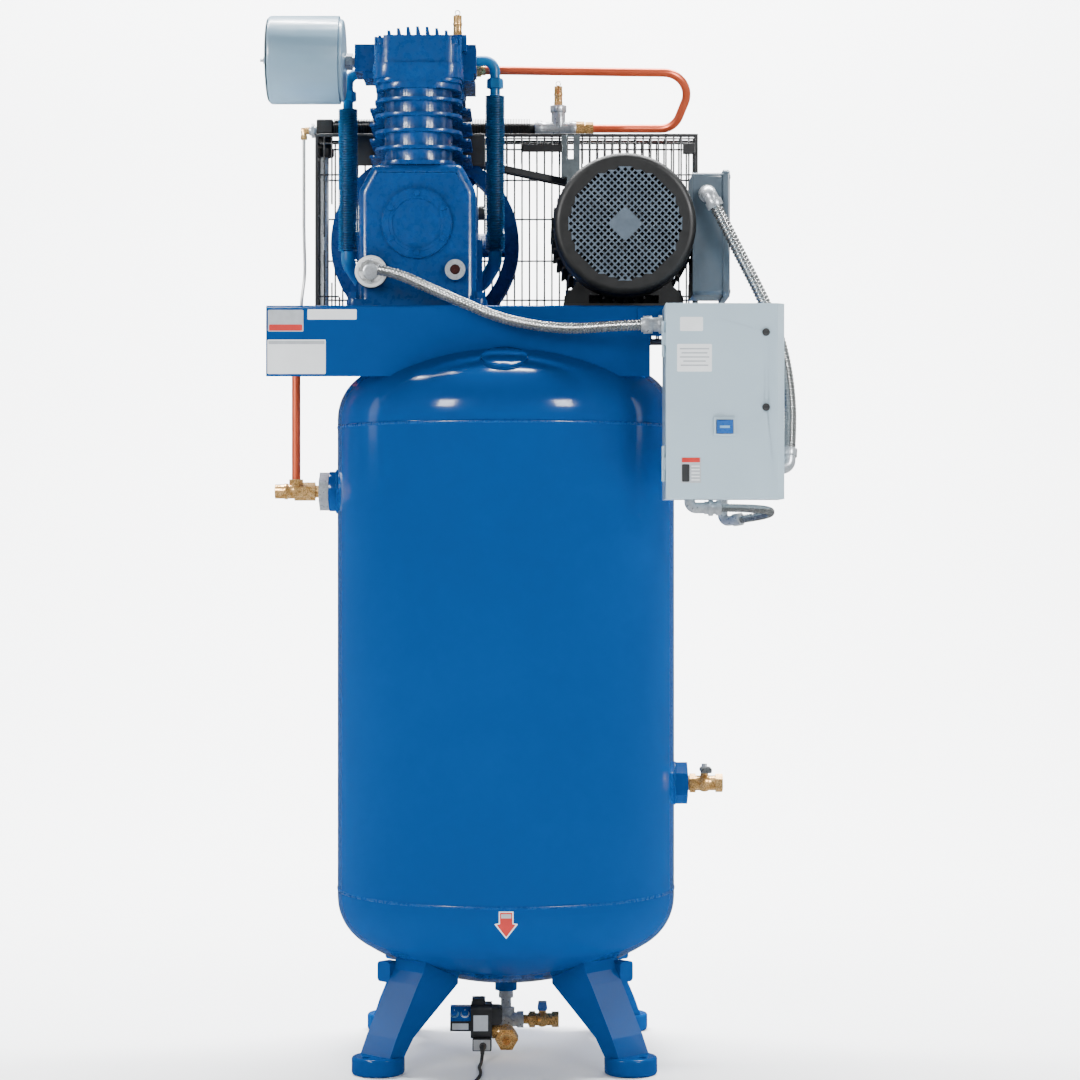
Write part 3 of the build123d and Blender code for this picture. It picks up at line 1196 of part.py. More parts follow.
def make_cord():
    NODES["drain_cord"] = free_tube("drain cord", CORD_POINTS, CORD_R)
    x, y = COIL_CENTRE
    hank = rod_z(x, y, (0.2, COIL_HEIGHT), COIL_OUTER_R)
    NODES["drain_cord_coil"] = hank - rod_z(x, y, (-1, COIL_HEIGHT + 1), COIL_INNER_R)
    px, py, pz = PLUG_START
    body = block((px, px + 40), (py - 14, py + 14), (pz - 10.9, pz + 10.9))
    body = fillet(body.edges().filter_by(Axis.X), 6)
    blades = [
        block((px + 39, px + 57), (py + dy - 0.8, py + dy + 0.8), (pz - 3.2, pz + 3.2)) for dy in (-6.4, 6.4)
    ]
    earth = rod_x((px + 39, px + 60), py, pz - 6, 2.3)
    NODES["drain_plug"] = fused([body, earth] + blades)


def main():
    make_tank()
    make_legs()
    make_platform()
    make_crankcase()
    make_bearings()
    make_crank_train()
    make_cylinders()
    make_head()
    make_pump_bolts()
    make_flywheel()
    make_intercooler()
    make_air_filter()
    make_relief_valves()
    make_copper()
    make_brass()
    make_pipe_fittings()
    make_aftercooler()
    make_unloader()
    make_motor()
    make_cowl()
    make_conduit_box()
    make_belts()
    make_guard()
    make_control_box()
    make_pressure_switch()
    make_wiring()
    make_valves()
    make_drain()
    make_auto_drain()
    make_cord()
    os.makedirs("parts", exist_ok=True)
    for name, shape in NODES.items():
        export_step(shape, f"parts/{name}.step")
    print(len(NODES), "nodes")


main()
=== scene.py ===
"""The looks of the vertical tank compressor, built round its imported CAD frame.

The scene is in metres. The places and sizes of pieces are written in millimetres and scaled by MM.
"""

import math
import random

import bmesh
import bpy
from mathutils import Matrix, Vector


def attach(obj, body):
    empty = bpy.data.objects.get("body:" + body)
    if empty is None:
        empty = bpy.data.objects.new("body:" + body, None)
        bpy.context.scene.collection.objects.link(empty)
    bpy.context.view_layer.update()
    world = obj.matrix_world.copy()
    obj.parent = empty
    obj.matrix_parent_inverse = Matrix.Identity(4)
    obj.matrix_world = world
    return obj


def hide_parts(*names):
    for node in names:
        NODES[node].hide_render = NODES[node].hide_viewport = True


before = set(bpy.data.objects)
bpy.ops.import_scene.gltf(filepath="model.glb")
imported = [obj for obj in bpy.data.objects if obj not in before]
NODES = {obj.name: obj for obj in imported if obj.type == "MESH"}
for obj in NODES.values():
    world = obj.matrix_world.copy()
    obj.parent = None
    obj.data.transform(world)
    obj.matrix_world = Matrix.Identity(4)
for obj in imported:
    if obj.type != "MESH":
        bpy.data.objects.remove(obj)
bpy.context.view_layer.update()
random.seed(7)

ROOT = "compressor"
MM = 0.001

# Places that more than one section uses, in millimetres.
TANK_R = 305.0
SEAM_Z = (298.0, 1129.0)
CRANK_X, CRANK_Z = -156.0, 1486.0
MOTOR_X, MOTOR_Z = 211.0, 1480.0
RISER_X, RISER_Y = -347.0, 230.0
BOX_FACES = ((0, 1, 3, 2), (4, 6, 7, 5), (0, 4, 5, 1), (2, 3, 7, 6), (0, 2, 6, 4), (1, 5, 7, 3))

# ---------------------------------------------------------------- camera
camera_data = bpy.data.cameras.new("camera")
camera_data.lens = 91.8
camera_data.sensor_width = 36.0
camera_data.clip_end = 100.0
camera = bpy.data.objects.new("camera", camera_data)
camera.location = (0.0617, -5.0, 0.926)
camera.rotation_euler = (math.radians(90), 0, 0)
bpy.context.scene.collection.objects.link(camera)
bpy.context.scene.camera = camera


# ---------------------------------------------------------------- materials
def srgb(r, g, b):
    """A linear colour with alpha from 0-255 sRGB values."""
    linear = [((c / 255 + 0.055) / 1.055) ** 2.4 if c > 10 else c / 255 / 12.92 for c in (r, g, b)]
    return (*linear, 1.0)


def scaled(colour, factor):
    """A lighter or darker version of a colour."""
    return tuple(min(1.0, c * factor) for c in colour[:3]) + (1.0,)


def noise_node(tree, coord, scale, detail=4.0, stretch=None):
    """A noise texture in object coordinates, drawn out along an axis where stretch says so."""
    noise = tree.nodes.new("ShaderNodeTexNoise")
    noise.inputs["Scale"].default_value = scale
    noise.inputs["Detail"].default_value = detail
    noise.inputs["Roughness"].default_value = 0.55
    if stretch:
        mapping = tree.nodes.new("ShaderNodeMapping")
        mapping.inputs["Scale"].default_value = stretch
        tree.links.new(coord.outputs["Object"], mapping.inputs["Vector"])
        tree.links.new(mapping.outputs["Vector"], noise.inputs["Vector"])
    else:
        tree.links.new(coord.outputs["Object"], noise.inputs["Vector"])
    return noise


def ranged(tree, source, low, high, from_low=0.3, from_high=0.7):
    """A value remapped to run from low to high."""
    node = tree.nodes.new("ShaderNodeMapRange")
    node.inputs["From Min"].default_value = from_low
    node.inputs["From Max"].default_value = from_high
    node.inputs["To Min"].default_value = low
    node.inputs["To Max"].default_value = high
    tree.links.new(source, node.inputs["Value"])
    return node.outputs["Result"]


def blended(tree, factor, dark, light):
    """A mix of two colours by a factor."""
    mix = tree.nodes.new("ShaderNodeMix")
    mix.data_type = "RGBA"
    mix.inputs[6].default_value = dark
    mix.inputs[7].default_value = light
    tree.links.new(factor, mix.inputs[0])
    return mix.outputs[2]


MATS = {}


def surface(name, colour, rough, metal=0.0, coat=0.0, patch=(9.0, 0.10), grain=(900.0, 0.10, 0.0002),
            rough_spread=0.06, second=None, stretch=None, cells=None, ripple=None, coat_rough=0.05,
            shine=0.5):
    """Adds a procedural finish to MATS: patchy colour, uneven gloss and a fine grain.

    patch is a scale and a contrast, grain and ripple are a scale, a strength and a depth in metres, and
    cells is the scale of a spangle that takes the place of the patches.
    """
    material = bpy.data.materials.new(name)
    material.use_nodes = True
    tree = material.node_tree
    shader = tree.nodes["Principled BSDF"]
    coord = tree.nodes.new("ShaderNodeTexCoord")
    shader.inputs["Metallic"].default_value = metal
    shader.inputs["Specular IOR Level"].default_value = shine
    shader.inputs["Coat Weight"].default_value = coat
    shader.inputs["Coat Roughness"].default_value = coat_rough
    big = noise_node(tree, coord, patch[0], stretch=stretch)
    factor = ranged(tree, big.outputs["Fac"], 0.0, 1.0)
    light = second or scaled(colour, 1 + patch[1])
    tree.links.new(blended(tree, factor, scaled(colour, 1 - patch[1]), light), shader.inputs["Base Color"])
    if cells:
        voronoi = tree.nodes.new("ShaderNodeTexVoronoi")
        voronoi.inputs["Scale"].default_value = cells
        tree.links.new(coord.outputs["Object"], voronoi.inputs["Vector"])
        source = voronoi.outputs["Color"]
        tree.links.new(ranged(tree, source, rough - rough_spread, rough + rough_spread, 0.0, 1.0),
                       shader.inputs["Roughness"])
        spangle = ranged(tree, source, 0.0, 1.0, 0.0, 1.0)
        mixed = blended(tree, spangle, scaled(colour, 0.78), scaled(colour, 1.12))
        tree.links.new(mixed, shader.inputs["Base Color"])
    else:
        gloss = noise_node(tree, coord, patch[0] * 4 + 20, detail=5.0, stretch=stretch)
        tree.links.new(ranged(tree, gloss.outputs["Fac"], rough - rough_spread, rough + rough_spread),
                       shader.inputs["Roughness"])
    fine = noise_node(tree, coord, grain[0], detail=3.0, stretch=stretch)
    bump = tree.nodes.new("ShaderNodeBump")
    bump.inputs["Strength"].default_value = grain[1]
    bump.inputs["Distance"].default_value = grain[2]
    tree.links.new(fine.outputs["Fac"], bump.inputs["Height"])
    last = bump
    if ripple:
        wave = noise_node(tree, coord, ripple[0], detail=2.0)
        second_bump = tree.nodes.new("ShaderNodeBump")
        second_bump.inputs["Strength"].default_value = ripple[1]
        second_bump.inputs["Distance"].default_value = ripple[2]
        tree.links.new(wave.outputs["Fac"], second_bump.inputs["Height"])
        tree.links.new(bump.outputs["Normal"], second_bump.inputs["Normal"])
        last = second_bump
    tree.links.new(last.outputs["Normal"], shader.inputs["Normal"])
    MATS[name] = material


BLUE = srgb(0, 62, 124)
surface("tank_paint", BLUE, 0.15, coat=0.06, patch=(3.0, 0.05), grain=(500.0, 0.05, 0.0001),
        rough_spread=0.015, ripple=(6.0, 0.05, 0.002), coat_rough=0.02, shine=0.09)
surface("weld_paint", BLUE, 0.28, coat=0.1, patch=(40.0, 0.12), grain=(160.0, 0.5, 0.001),
        ripple=(420.0, 0.35, 0.0008), shine=0.15)
surface("pump_paint", srgb(0, 62, 122), 0.30, shine=0.2, coat=0.12, patch=(18.0, 0.10),
        grain=(420.0, 0.22, 0.0005), ripple=(70.0, 0.30, 0.0015), rough_spread=0.1)
surface("fin_paint", srgb(8, 106, 162), 0.42, shine=0.25, coat=0.03, patch=(30.0, 0.15),
        grain=(900.0, 0.12, 0.0002))
surface("filter_paint", srgb(120, 150, 170), 0.36, coat=0.25, patch=(8.0, 0.05),
        grain=(1400.0, 0.10, 0.0002))
surface("box_paint", srgb(168, 190, 203), 0.38, coat=0.2, patch=(5.0, 0.04), grain=(1100.0, 0.14, 0.0002),
        ripple=(30.0, 0.05, 0.0006))
surface("box_inside", srgb(196, 206, 212), 0.45, patch=(8.0, 0.05))
surface("motor_paint", srgb(10, 12, 14), 0.5, shine=0.3, coat=0.0, patch=(14.0, 0.25),
        grain=(800.0, 0.20, 0.0003))
surface("grille_paint", srgb(80, 94, 108), 0.40, coat=0.1, patch=(40.0, 0.2), grain=(1200.0, 0.15, 0.0002))
surface("conduit_box_paint", srgb(78, 94, 107), 0.34, shine=0.6, patch=(12.0, 0.2),
        grain=(800.0, 0.15, 0.0003))
surface("black_wire", srgb(19, 20, 23), 0.38, coat=0.2, patch=(60.0, 0.3), grain=(1600.0, 0.2, 0.0002))
surface("rubber", srgb(22, 22, 23), 0.62, patch=(80.0, 0.2), grain=(1500.0, 0.25, 0.0002))
surface("cord_rubber", srgb(16, 16, 17), 0.5, patch=(90.0, 0.2), grain=(2500.0, 0.2, 0.0001))
surface("black_plastic", srgb(31, 33, 36), 0.45, patch=(50.0, 0.15), grain=(2600.0, 0.25, 0.0002))
surface("grey_plastic", srgb(150, 152, 154), 0.4, patch=(60.0, 0.08), grain=(2600.0, 0.15, 0.0001))
surface("blue_plastic", srgb(24, 84, 158), 0.3, coat=0.4, patch=(60.0, 0.12), grain=(2600.0, 0.12, 0.0001))
surface("pale_blue", srgb(120, 168, 200), 0.35, coat=0.3, patch=(60.0, 0.1), grain=(2600.0, 0.12, 0.0001))
surface("steel", srgb(172, 176, 180), 0.3, metal=1.0, patch=(60.0, 0.12), grain=(2200.0, 0.15, 0.0001),
        stretch=(1, 12, 1))
surface("zinc", srgb(178, 183, 188), 0.34, metal=0.5, cells=420.0, rough_spread=0.09,
        grain=(1500.0, 0.18, 0.0002))
surface("iron", srgb(86, 88, 90), 0.5, metal=0.8, patch=(40.0, 0.2), grain=(600.0, 0.3, 0.0004))
surface("dark_steel", srgb(96, 104, 108), 0.42, metal=0.9, patch=(50.0, 0.25), grain=(900.0, 0.25, 0.0003))
surface("alloy", srgb(196, 198, 200), 0.35, metal=1.0, patch=(40.0, 0.1), grain=(1500.0, 0.2, 0.0002))
surface("brass", srgb(200, 146, 74), 0.28, metal=0.6, patch=(120.0, 0.22), grain=(1800.0, 0.2, 0.0002),
        second=srgb(232, 190, 128), rough_spread=0.1)
surface("copper", srgb(210, 88, 54), 0.34, metal=0.5, patch=(9.0, 0.04), grain=(1600.0, 0.12, 0.0001),
        second=srgb(216, 96, 60), rough_spread=0.02)
surface("hose_metal", srgb(150, 152, 152), 0.24, metal=0.8, patch=(240.0, 0.3),
        grain=(1800.0, 0.25, 0.0002), rough_spread=0.1)
surface("nylon", srgb(205, 205, 200), 0.4, patch=(40.0, 0.08), grain=(2000.0, 0.1, 0.0001))
surface("paper", srgb(204, 186, 140), 0.8, patch=(300.0, 0.15), grain=(700.0, 0.3, 0.0004))
surface("label", srgb(232, 236, 238), 0.42, coat=0.3, patch=(30.0, 0.03), grain=(2400.0, 0.06, 0.0001))
surface("label_grey", srgb(170, 176, 182), 0.45, coat=0.2, patch=(90.0, 0.08), grain=(2400.0, 0.06, 0.0001))
surface("label_red", srgb(196, 38, 34), 0.38, coat=0.3, patch=(40.0, 0.08), grain=(2400.0, 0.06, 0.0001))
surface("glass_dark", srgb(58, 24, 22), 0.12, coat=1.0, patch=(90.0, 0.3), grain=(900.0, 0.02, 0.0001))
surface("white_plastic", srgb(220, 222, 222), 0.35, coat=0.2, patch=(50.0, 0.05),
        grain=(2200.0, 0.12, 0.0001))
surface("floor", srgb(246, 247, 248), 0.75, patch=(2.0, 0.01), grain=(300.0, 0.03, 0.0002))

NODES_OF_FINISH = {
    "tank_paint": ["tank_shell", "tank_ports", "legs", "platform"],
    "pump_paint": ["crankcase", "crankcase_covers", "cylinder_front", "cylinder_rear", "valve_plate",
                   "cylinder_head", "pump_bolts", "flywheel"],
    "steel": ["output_shaft", "bearings", "interstage_relief_stem", "tank_relief_stem", "motor_rotor",
              "outlet_valve_handle"],
    "iron": ["crank_throws", "motor_sheave"],
    "alloy": ["pistons", "connecting_rods"],
    "fin_paint": ["intercooler"],
    "filter_paint": ["air_filter_canister"],
    "paper": ["air_filter_element"],
    "brass": ["relief_valve_bodies", "brass_fittings", "ball_valve_bodies"],
    "copper": ["copper_tubes"],
    "zinc": ["pipe_fittings", "conduit_connectors", "oil_ports", "drain_piping"],
    "motor_paint": ["aftercooler", "motor_housing", "motor_cowl"],
    "nylon": ["unloader_tube"],
    "dark_steel": ["motor_stator"],
    "black_wire": ["motor_base", "belt_guard_frame", "belt_guard_mesh"],
    "conduit_box_paint": ["motor_conduit_box"],
    "rubber": ["v_belts"],
    "box_paint": ["control_box_body", "control_box_door"],
    "black_plastic": ["door_latch_upper", "door_latch_lower", "starter_gear", "pressure_switch",
                      "auto_drain_coil"],
    "blue_plastic": ["start_button", "drain_valve_handle", "timer_knob_on", "timer_knob_off"],
    "hose_metal": ["oil_switch_conduit", "motor_conduit", "pressure_switch_conduit"],
    "cord_rubber": ["drain_cord", "drain_cord_coil", "drain_plug"],
}
for finish, node_names in NODES_OF_FINISH.items():
    for node_name in node_names:
        mesh = NODES[node_name].data
        mesh.materials.clear()
        mesh.materials.append(MATS[finish])


# ---------------------------------------------------------------- mesh helpers
def piece(name, verts, faces, finish, body=ROOT, smooth=True):
    """A mesh object in one finish from MATS, riding on a body."""
    mesh = bpy.data.meshes.new(name)
    mesh.from_pydata([tuple(v) for v in verts], [], faces)
    mesh.validate()
    mesh.update()
    for polygon in mesh.polygons:
        polygon.use_smooth = smooth
    mesh.materials.append(MATS[finish])
    made = bpy.data.objects.new(name, mesh)
    bpy.context.scene.collection.objects.link(made)
    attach(made, body)
    return made


def sharpened(made, angle=32, bevel=0.0):
    """Shades by angle, with a small rounded edge where one is asked for."""
    if bevel:
        rounding = made.modifiers.new("edge", "BEVEL")
        rounding.width = bevel
        rounding.segments = 2
        rounding.limit_method = "ANGLE"
        rounding.angle_limit = math.radians(angle)
    mesh = made.data
    mesh.set_sharp_from_angle(angle=math.radians(angle))
    return made


def boxes(name, ranges, finish, body=ROOT, bevel=0.0006):
    """Many boxes in one piece, each from ((x, x), (y, y), (z, z)) in millimetres."""
    verts, faces = [], []
    for xs, ys, zs in ranges:
        n = len(verts)
        verts += [Vector((x, y, z)) * MM for x in xs for y in ys for z in zs]
        faces += [tuple(n + k for k in face) for face in BOX_FACES]
    made = piece(name, verts, faces, finish, body, smooth=False)
    if bevel:
        sharpened(made, 40, bevel)
    return made


def axes_of(direction):
    """Two unit vectors square to a direction."""
    direction = Vector(direction).normalized()
    guide = Vector((0, 0, 1)) if abs(direction.z) < 0.9 else Vector((0, 1, 0))
    side = direction.cross(guide).normalized()
    return side, direction.cross(side).normalized()


def tube_faces(rings, sides, faces, first=0, closed=False):
    """Adds the wall between rings of vertices that follow one another, and end caps unless it is closed."""
    for i in range(rings if closed else rings - 1):
        near, far = first + i * sides, first + (i + 1) % rings * sides
        for k in range(sides):
            m = (k + 1) % sides
            faces.append((near + k, near + m, far + m, far + k))
    if not closed:
        faces.append(tuple(first + k for k in range(sides)))
        faces.append(tuple(first + (rings - 1) * sides + k for k in reversed(range(sides))))


def lathe_parts(profile, origin, direction, segments, verts, faces, close=False):
    """Adds a surface of revolution: profile is (distance along, radius) in millimetres from origin."""
    direction = Vector(direction).normalized()
    side, up = axes_of(direction)
    first = len(verts)
    for along, radius in profile:
        for k in range(segments):
            angle = 2 * math.pi * k / segments
            offset = side * math.cos(angle) + up * math.sin(angle)
            verts.append((Vector(origin) + direction * along + offset * radius) * MM)
    tube_faces(len(profile), segments, faces, first, close)


def lathe(name, profile, origin, direction, finish, segments=48, close=False, angle=32):
    """One turned piece; close joins the profile's end to its start, as in a ring."""
    verts, faces = [], []
    lathe_parts(profile, origin, direction, segments, verts, faces, close)
    return sharpened(piece(name, verts, faces, finish), angle)


def nurbs_curve(name, points, radius, finish):
    """A round bar on one smooth open NURBS spline through control points in millimetres."""
    data = bpy.data.curves.new(name, "CURVE")
    data.dimensions = "3D"
    data.resolution_u = 12
    data.bevel_depth = radius * MM
    data.bevel_resolution = 5
    data.use_fill_caps = True
    spline = data.splines.new("NURBS")
    spline.points.add(len(points) - 1)
    for target, p in zip(spline.points, points):
        target.co = (*(Vector(p) * MM), 1.0)
    spline.order_u = 3
    spline.use_endpoint_u = True
    data.materials.append(MATS[finish])
    made = bpy.data.objects.new(name, data)
    bpy.context.scene.collection.objects.link(made)
    return made


def line_of(points):
    """The smooth line of a route, read from its NURBS spline."""
    made = nurbs_curve("route", points, 0.0, "zinc")
    made.data.resolution_u = 60
    mesh = bpy.data.meshes.new_from_object(made)
    line = [v.co.copy() for v in mesh.vertices]
    curve = made.data
    bpy.data.objects.remove(made)
    bpy.data.curves.remove(curve)
    bpy.data.meshes.remove(mesh)
    return line


def evenly(line, step):
    """Points along a line a constant step apart, ends kept."""
    total = sum((b - a).length for a, b in zip(line, line[1:]))
    count = max(2, round(total / step))
    spacing = total / count
    found, gone, want = [line[0].copy()], 0.0, spacing
    for a, b in zip(line, line[1:]):
        run = (b - a).length
        while run > 0 and want <= gone + run + 1e-9 and len(found) < count:
            found.append(a.lerp(b, (want - gone) / run))
            want += spacing
        gone += run
    found.append(line[-1].copy())
    return found, spacing


def ribbed_hose(name, points, radius, pitch, depth, finish, node):
    """A strip-wound metal hose: a helical rib on a tube that follows the route's own line."""
    rings, spacing = evenly(line_of(points), pitch * MM / 6)
    verts, faces, sides = [], [], 24
    side = None
    for i, centre in enumerate(rings):
        ahead = rings[min(i + 1, len(rings) - 1)] - rings[max(i - 1, 0)]
        ahead.normalize()
        side = axes_of(ahead)[0] if side is None else (side - ahead * side.dot(ahead)).normalized()
        up = ahead.cross(side)
        for k in range(sides):
            turn = k / sides
            phase = (i * spacing / (pitch * MM) + turn) % 1.0
            lift = 0.0 if phase < 0.52 else (math.sin(math.pi * (phase - 0.52) / 0.48)) ** 0.7
            r = (radius - depth * lift) * MM
            angle = 2 * math.pi * turn
            verts.append(centre + (side * math.cos(angle) + up * math.sin(angle)) * r)
    tube_faces(len(rings), sides, faces)
    made = piece(name, verts, faces, finish)
    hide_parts(node)
    return made


# ---------------------------------------------------------------- cords and flexible conduits
CORD_ROUTE = [
    (-40, -98, 24), (-40, -114, 24), (-40.5, -127, 15), (-41.5, -138, 5.5),
    (-43, -156, 3.6), (-45, -184, 3.4), (-41, -222, 3.4), (-42, -264, 3.4),
    (-48, -302, 3.4), (-51, -338, 3.4), (-48, -372, 3.4), (-48, -404, 3.4),
]
COIL_CENTRE = (-90.0, -428.0)
COIL_WIDE_R = 44.6
COIL_TIGHT_R = 24.8
COIL_LAYER_TURNS = 3.2
COIL_RISE_TURNS = 0.3
COIL_TURNS = 6.86
COIL_LOW_Z = 3.4
COIL_HIGH_Z = 9.7
POINTS_PER_TURN = 14
PLUG_TAIL = [(-55, -394.5, 10.4), (-40, -404, 11.4), (-27, -410.5, 11.2), (-16, -412, 11.2)]


def coil_point(turn):
    """A point of the flat coil: inwards along the floor, up one layer, and outwards again on top of it."""
    climb_end = COIL_LAYER_TURNS + COIL_RISE_TURNS
    if turn < COIL_LAYER_TURNS:
        r = COIL_WIDE_R - (COIL_WIDE_R - COIL_TIGHT_R) * turn / COIL_LAYER_TURNS
        z = COIL_LOW_Z
    elif turn < climb_end:
        r = COIL_TIGHT_R
        z = COIL_LOW_Z + (COIL_HIGH_Z - COIL_LOW_Z) * (turn - COIL_LAYER_TURNS) / COIL_RISE_TURNS
    else:
        r = COIL_TIGHT_R + (COIL_WIDE_R - COIL_TIGHT_R) * (turn - climb_end) / (COIL_TURNS - climb_end)
        z = COIL_HIGH_Z
    angle = math.radians(15) - 2 * math.pi * turn
    return COIL_CENTRE[0] + r * math.cos(angle), COIL_CENTRE[1] + r * math.sin(angle), z


coil = [coil_point(k / POINTS_PER_TURN) for k in range(round(COIL_TURNS * POINTS_PER_TURN) + 1)]
cord_points = CORD_ROUTE + coil + PLUG_TAIL
cord = nurbs_curve("drain_cord_run", cord_points, 3.0, "cord_rubber")
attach(cord, ROOT)
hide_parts("drain_cord", "drain_cord_coil")


def sleeve_on(name, points, length, start_r, end_r, finish):
    """A tapered, grooved strain relief on the first stretch of a route."""
    rings, spacing = evenly(line_of(points), 0.8 * MM)
    rings = rings[:round(length * MM / spacing)]
    verts, faces, sides = [], [], 24
    for i, centre in enumerate(rings):
        ahead = (rings[min(i + 1, len(rings) - 1)] - rings[max(i - 1, 0)]).normalized()
        side, up = axes_of(ahead)
        share = i / (len(rings) - 1)
        groove = 0.7 if share > 0.25 and (i // 2) % 2 else 0.0
        r = (start_r + (end_r - start_r) * share - groove * (1 - 0.5 * share)) * MM
        for k in range(sides):
            angle = 2 * math.pi * k / sides
            verts.append(centre + (side * math.cos(angle) + up * math.sin(angle)) * r)
    tube_faces(len(rings), sides, faces)
    return sharpened(piece(name, verts, faces, finish), 50)


cord_relief = sleeve_on("cord_strain_relief", CORD_ROUTE, 30.0, 5.6, 3.5, "cord_rubber")

OIL_ROUTE = [
    (-222, -178, 1399), (-190, -181, 1394), (-132, -190, 1366), (-72, -205, 1339), (-12, -213, 1313),
    (52, -220, 1298), (120, -232, 1291), (190, -249, 1295.6), (236, -250, 1297),
]
MOTOR_ROUTE = [
    (371, -158, 1512), (386, -159, 1482), (412, -160, 1430), (446, -163, 1364), (476, -168, 1298),
    (493, -178, 1228), (499, -192, 1160), (497, -206, 1108), (495, -213, 1084),
]
SWITCH_ROUTE = [
    (372, -284, 981), (401, -284, 981), (440, -273, 979), (461, -238, 976), (463, -192, 972),
    (445, -153, 967), (418, -131, 963),
]
ribbed_hose("oil_switch_hose", OIL_ROUTE, 10.0, 6.2, 1.7, "hose_metal", "oil_switch_conduit")
ribbed_hose("motor_hose", MOTOR_ROUTE, 11.0, 6.6, 1.9, "hose_metal", "motor_conduit")
ribbed_hose("pressure_switch_hose", SWITCH_ROUTE, 7.5, 5.0, 1.3, "hose_metal", "pressure_switch_conduit")


# ---------------------------------------------------------------- more shape helpers
def paint_faces(node, finish, test, corners=False):
    """Gives a finish to a CAD node's faces whose centres, or all corners, pass a test in millimetres."""
    mesh = NODES[node].data
    mesh.materials.append(MATS[finish])
    index = len(mesh.materials) - 1
    for polygon in mesh.polygons:
        places = [mesh.vertices[k].co for k in polygon.vertices] if corners else [polygon.center]
        if all(test(*(place / MM)) for place in places):
            polygon.material_index = index


def bars(name, runs, radius, finish):
    """Many straight round bars in one piece, each from one point to another in millimetres."""
    verts, faces = [], []
    for a, b in runs:
        reach = Vector(b) - Vector(a)
        lathe_parts([(0, radius), (reach.length, radius)], a, reach, 8, verts, faces)
    return sharpened(piece(name, verts, faces, finish), 50)


def tube_along(line, radius_at, sides, verts, faces, closed=False):
    """Adds a round tube through points in metres; radius_at gives its radius at each of them."""
    first, side = len(verts), None
    count = len(line)
    for i, centre in enumerate(line):
        after = line[(i + 1) % count] if closed else line[min(i + 1, count - 1)]
        before = line[i - 1] if closed else line[max(i - 1, 0)]
        ahead = (after - before).normalized()
        side = axes_of(ahead)[0] if side is None else (side - ahead * side.dot(ahead)).normalized()
        up = ahead.cross(side)
        for k in range(sides):
            angle = 2 * math.pi * k / sides
            verts.append(centre + (side * math.cos(angle) + up * math.sin(angle)) * radius_at(i))
    tube_faces(count, sides, faces, first, closed)


def bent_line(points, radii):
    """Straight runs joined by tangent arcs, as points in metres."""
    corners = [Vector(p) for p in points]
    line = [corners[0]]
    for before, corner, after, r in zip(corners, corners[1:], corners[2:], radii):
        into, out = (corner - before).normalized(), (after - corner).normalized()
        turn = into.angle(out)
        setback = r * math.tan(turn / 2)
        centre = corner + (out - into).normalized() * r / math.cos(turn / 2)
        start = corner - into * setback - centre
        axis = into.cross(out).normalized()
        steps = max(4, round(math.degrees(turn) / 6))
        for k in range(steps + 1):
            angle = turn * k / steps
            line.append(centre + start * math.cos(angle) + axis.cross(start) * math.sin(angle))
    line.append(corners[-1])
    return [p * MM for p in line]


WELD_STEP = 2.6
RINGS_PER_STEP = 5


def weld(name, line, radius):
    """A closed fillet weld with the overlapping ripples of a torch's steps."""
    rings = evenly(line + [line[0]], WELD_STEP * MM / RINGS_PER_STEP)[0][:-1]
    verts, faces = [], []

    def swell(i):
        """The bead's radius at a ring, which dips between the torch's steps."""
        return radius * MM * (0.9 + 0.13 * abs(math.sin(math.pi * i / RINGS_PER_STEP)))

    tube_along(rings, swell, 8, verts, faces, closed=True)
    return piece(name, verts, faces, "tank_paint")


def hex_nut(name, origin, direction, height, across, finish, body=ROOT):
    """A hexagon nut or bolt head with chamfered corners, standing on origin."""
    corner = across / math.sqrt(3)
    profile = [(0, corner), (height * 0.82, corner), (height, corner * 0.9)]
    verts, faces = [], []
    lathe_parts(profile, origin, direction, 6, verts, faces)
    return sharpened(piece(name, verts, faces, finish, body, smooth=False), 30, 0.0004)


def threads(name, origin, direction, length, radius, finish, pitch=1.8):
    """The exposed thread of a pipe or stud, as shallow V ridges."""
    profile = []
    for k in range(int(length / pitch)):
        profile += [(k * pitch, radius - 0.35), (k * pitch + pitch / 2, radius + 0.25)]
    return lathe(name, profile, origin, direction, finish, segments=32, angle=20)


def sheet_label(name, centre, size, finish, body=ROOT, thick=0.35):
    """A thin rounded label on a face that looks to -Y; centre is (x, y, z) of its back, in millimetres."""
    x, y, z = centre
    half_w, half_h = size[0] / 2, size[1] / 2
    r = min(2.0, half_h * 0.3)
    outline = []
    for sx, sz, first in ((1, 1, 0), (-1, 1, 90), (-1, -1, 180), (1, -1, 270)):
        centre_x, centre_z = x + sx * (half_w - r), z + sz * (half_h - r)
        for k in range(4):
            angle = math.radians(first + 30 * k)
            outline.append((centre_x + r * math.cos(angle), centre_z + r * math.sin(angle)))
    n = len(outline)
    verts = [Vector((a, depth, b)) * MM for depth in (y, y - thick) for a, b in outline]
    faces = [tuple(range(n)), tuple(reversed(range(n, 2 * n)))]
    faces += [(k, n + k, n + (k + 1) % n, (k + 1) % n) for k in range(n)]
    return piece(name, verts, faces, finish, body, smooth=False)


# ---------------------------------------------------------------- receiver
KNUCKLE_R = 93.94
CROWN_R = 488.0
TOP_CROWN_CENTRE = 1299.0 - CROWN_R
LOWER_TANGENT = 283.0
CROWN_PAD_Y = -230.0
CROWN_PAD_R = 40.5
WELD_POINTS = 72


def tank_radius(z):
    """The receiver's outer radius at a height, on the shell and the upper part of the lower knuckle."""
    if z >= LOWER_TANGENT:
        return TANK_R
    return TANK_R - KNUCKLE_R + math.sqrt(KNUCKLE_R ** 2 - (LOWER_TANGENT - z) ** 2)


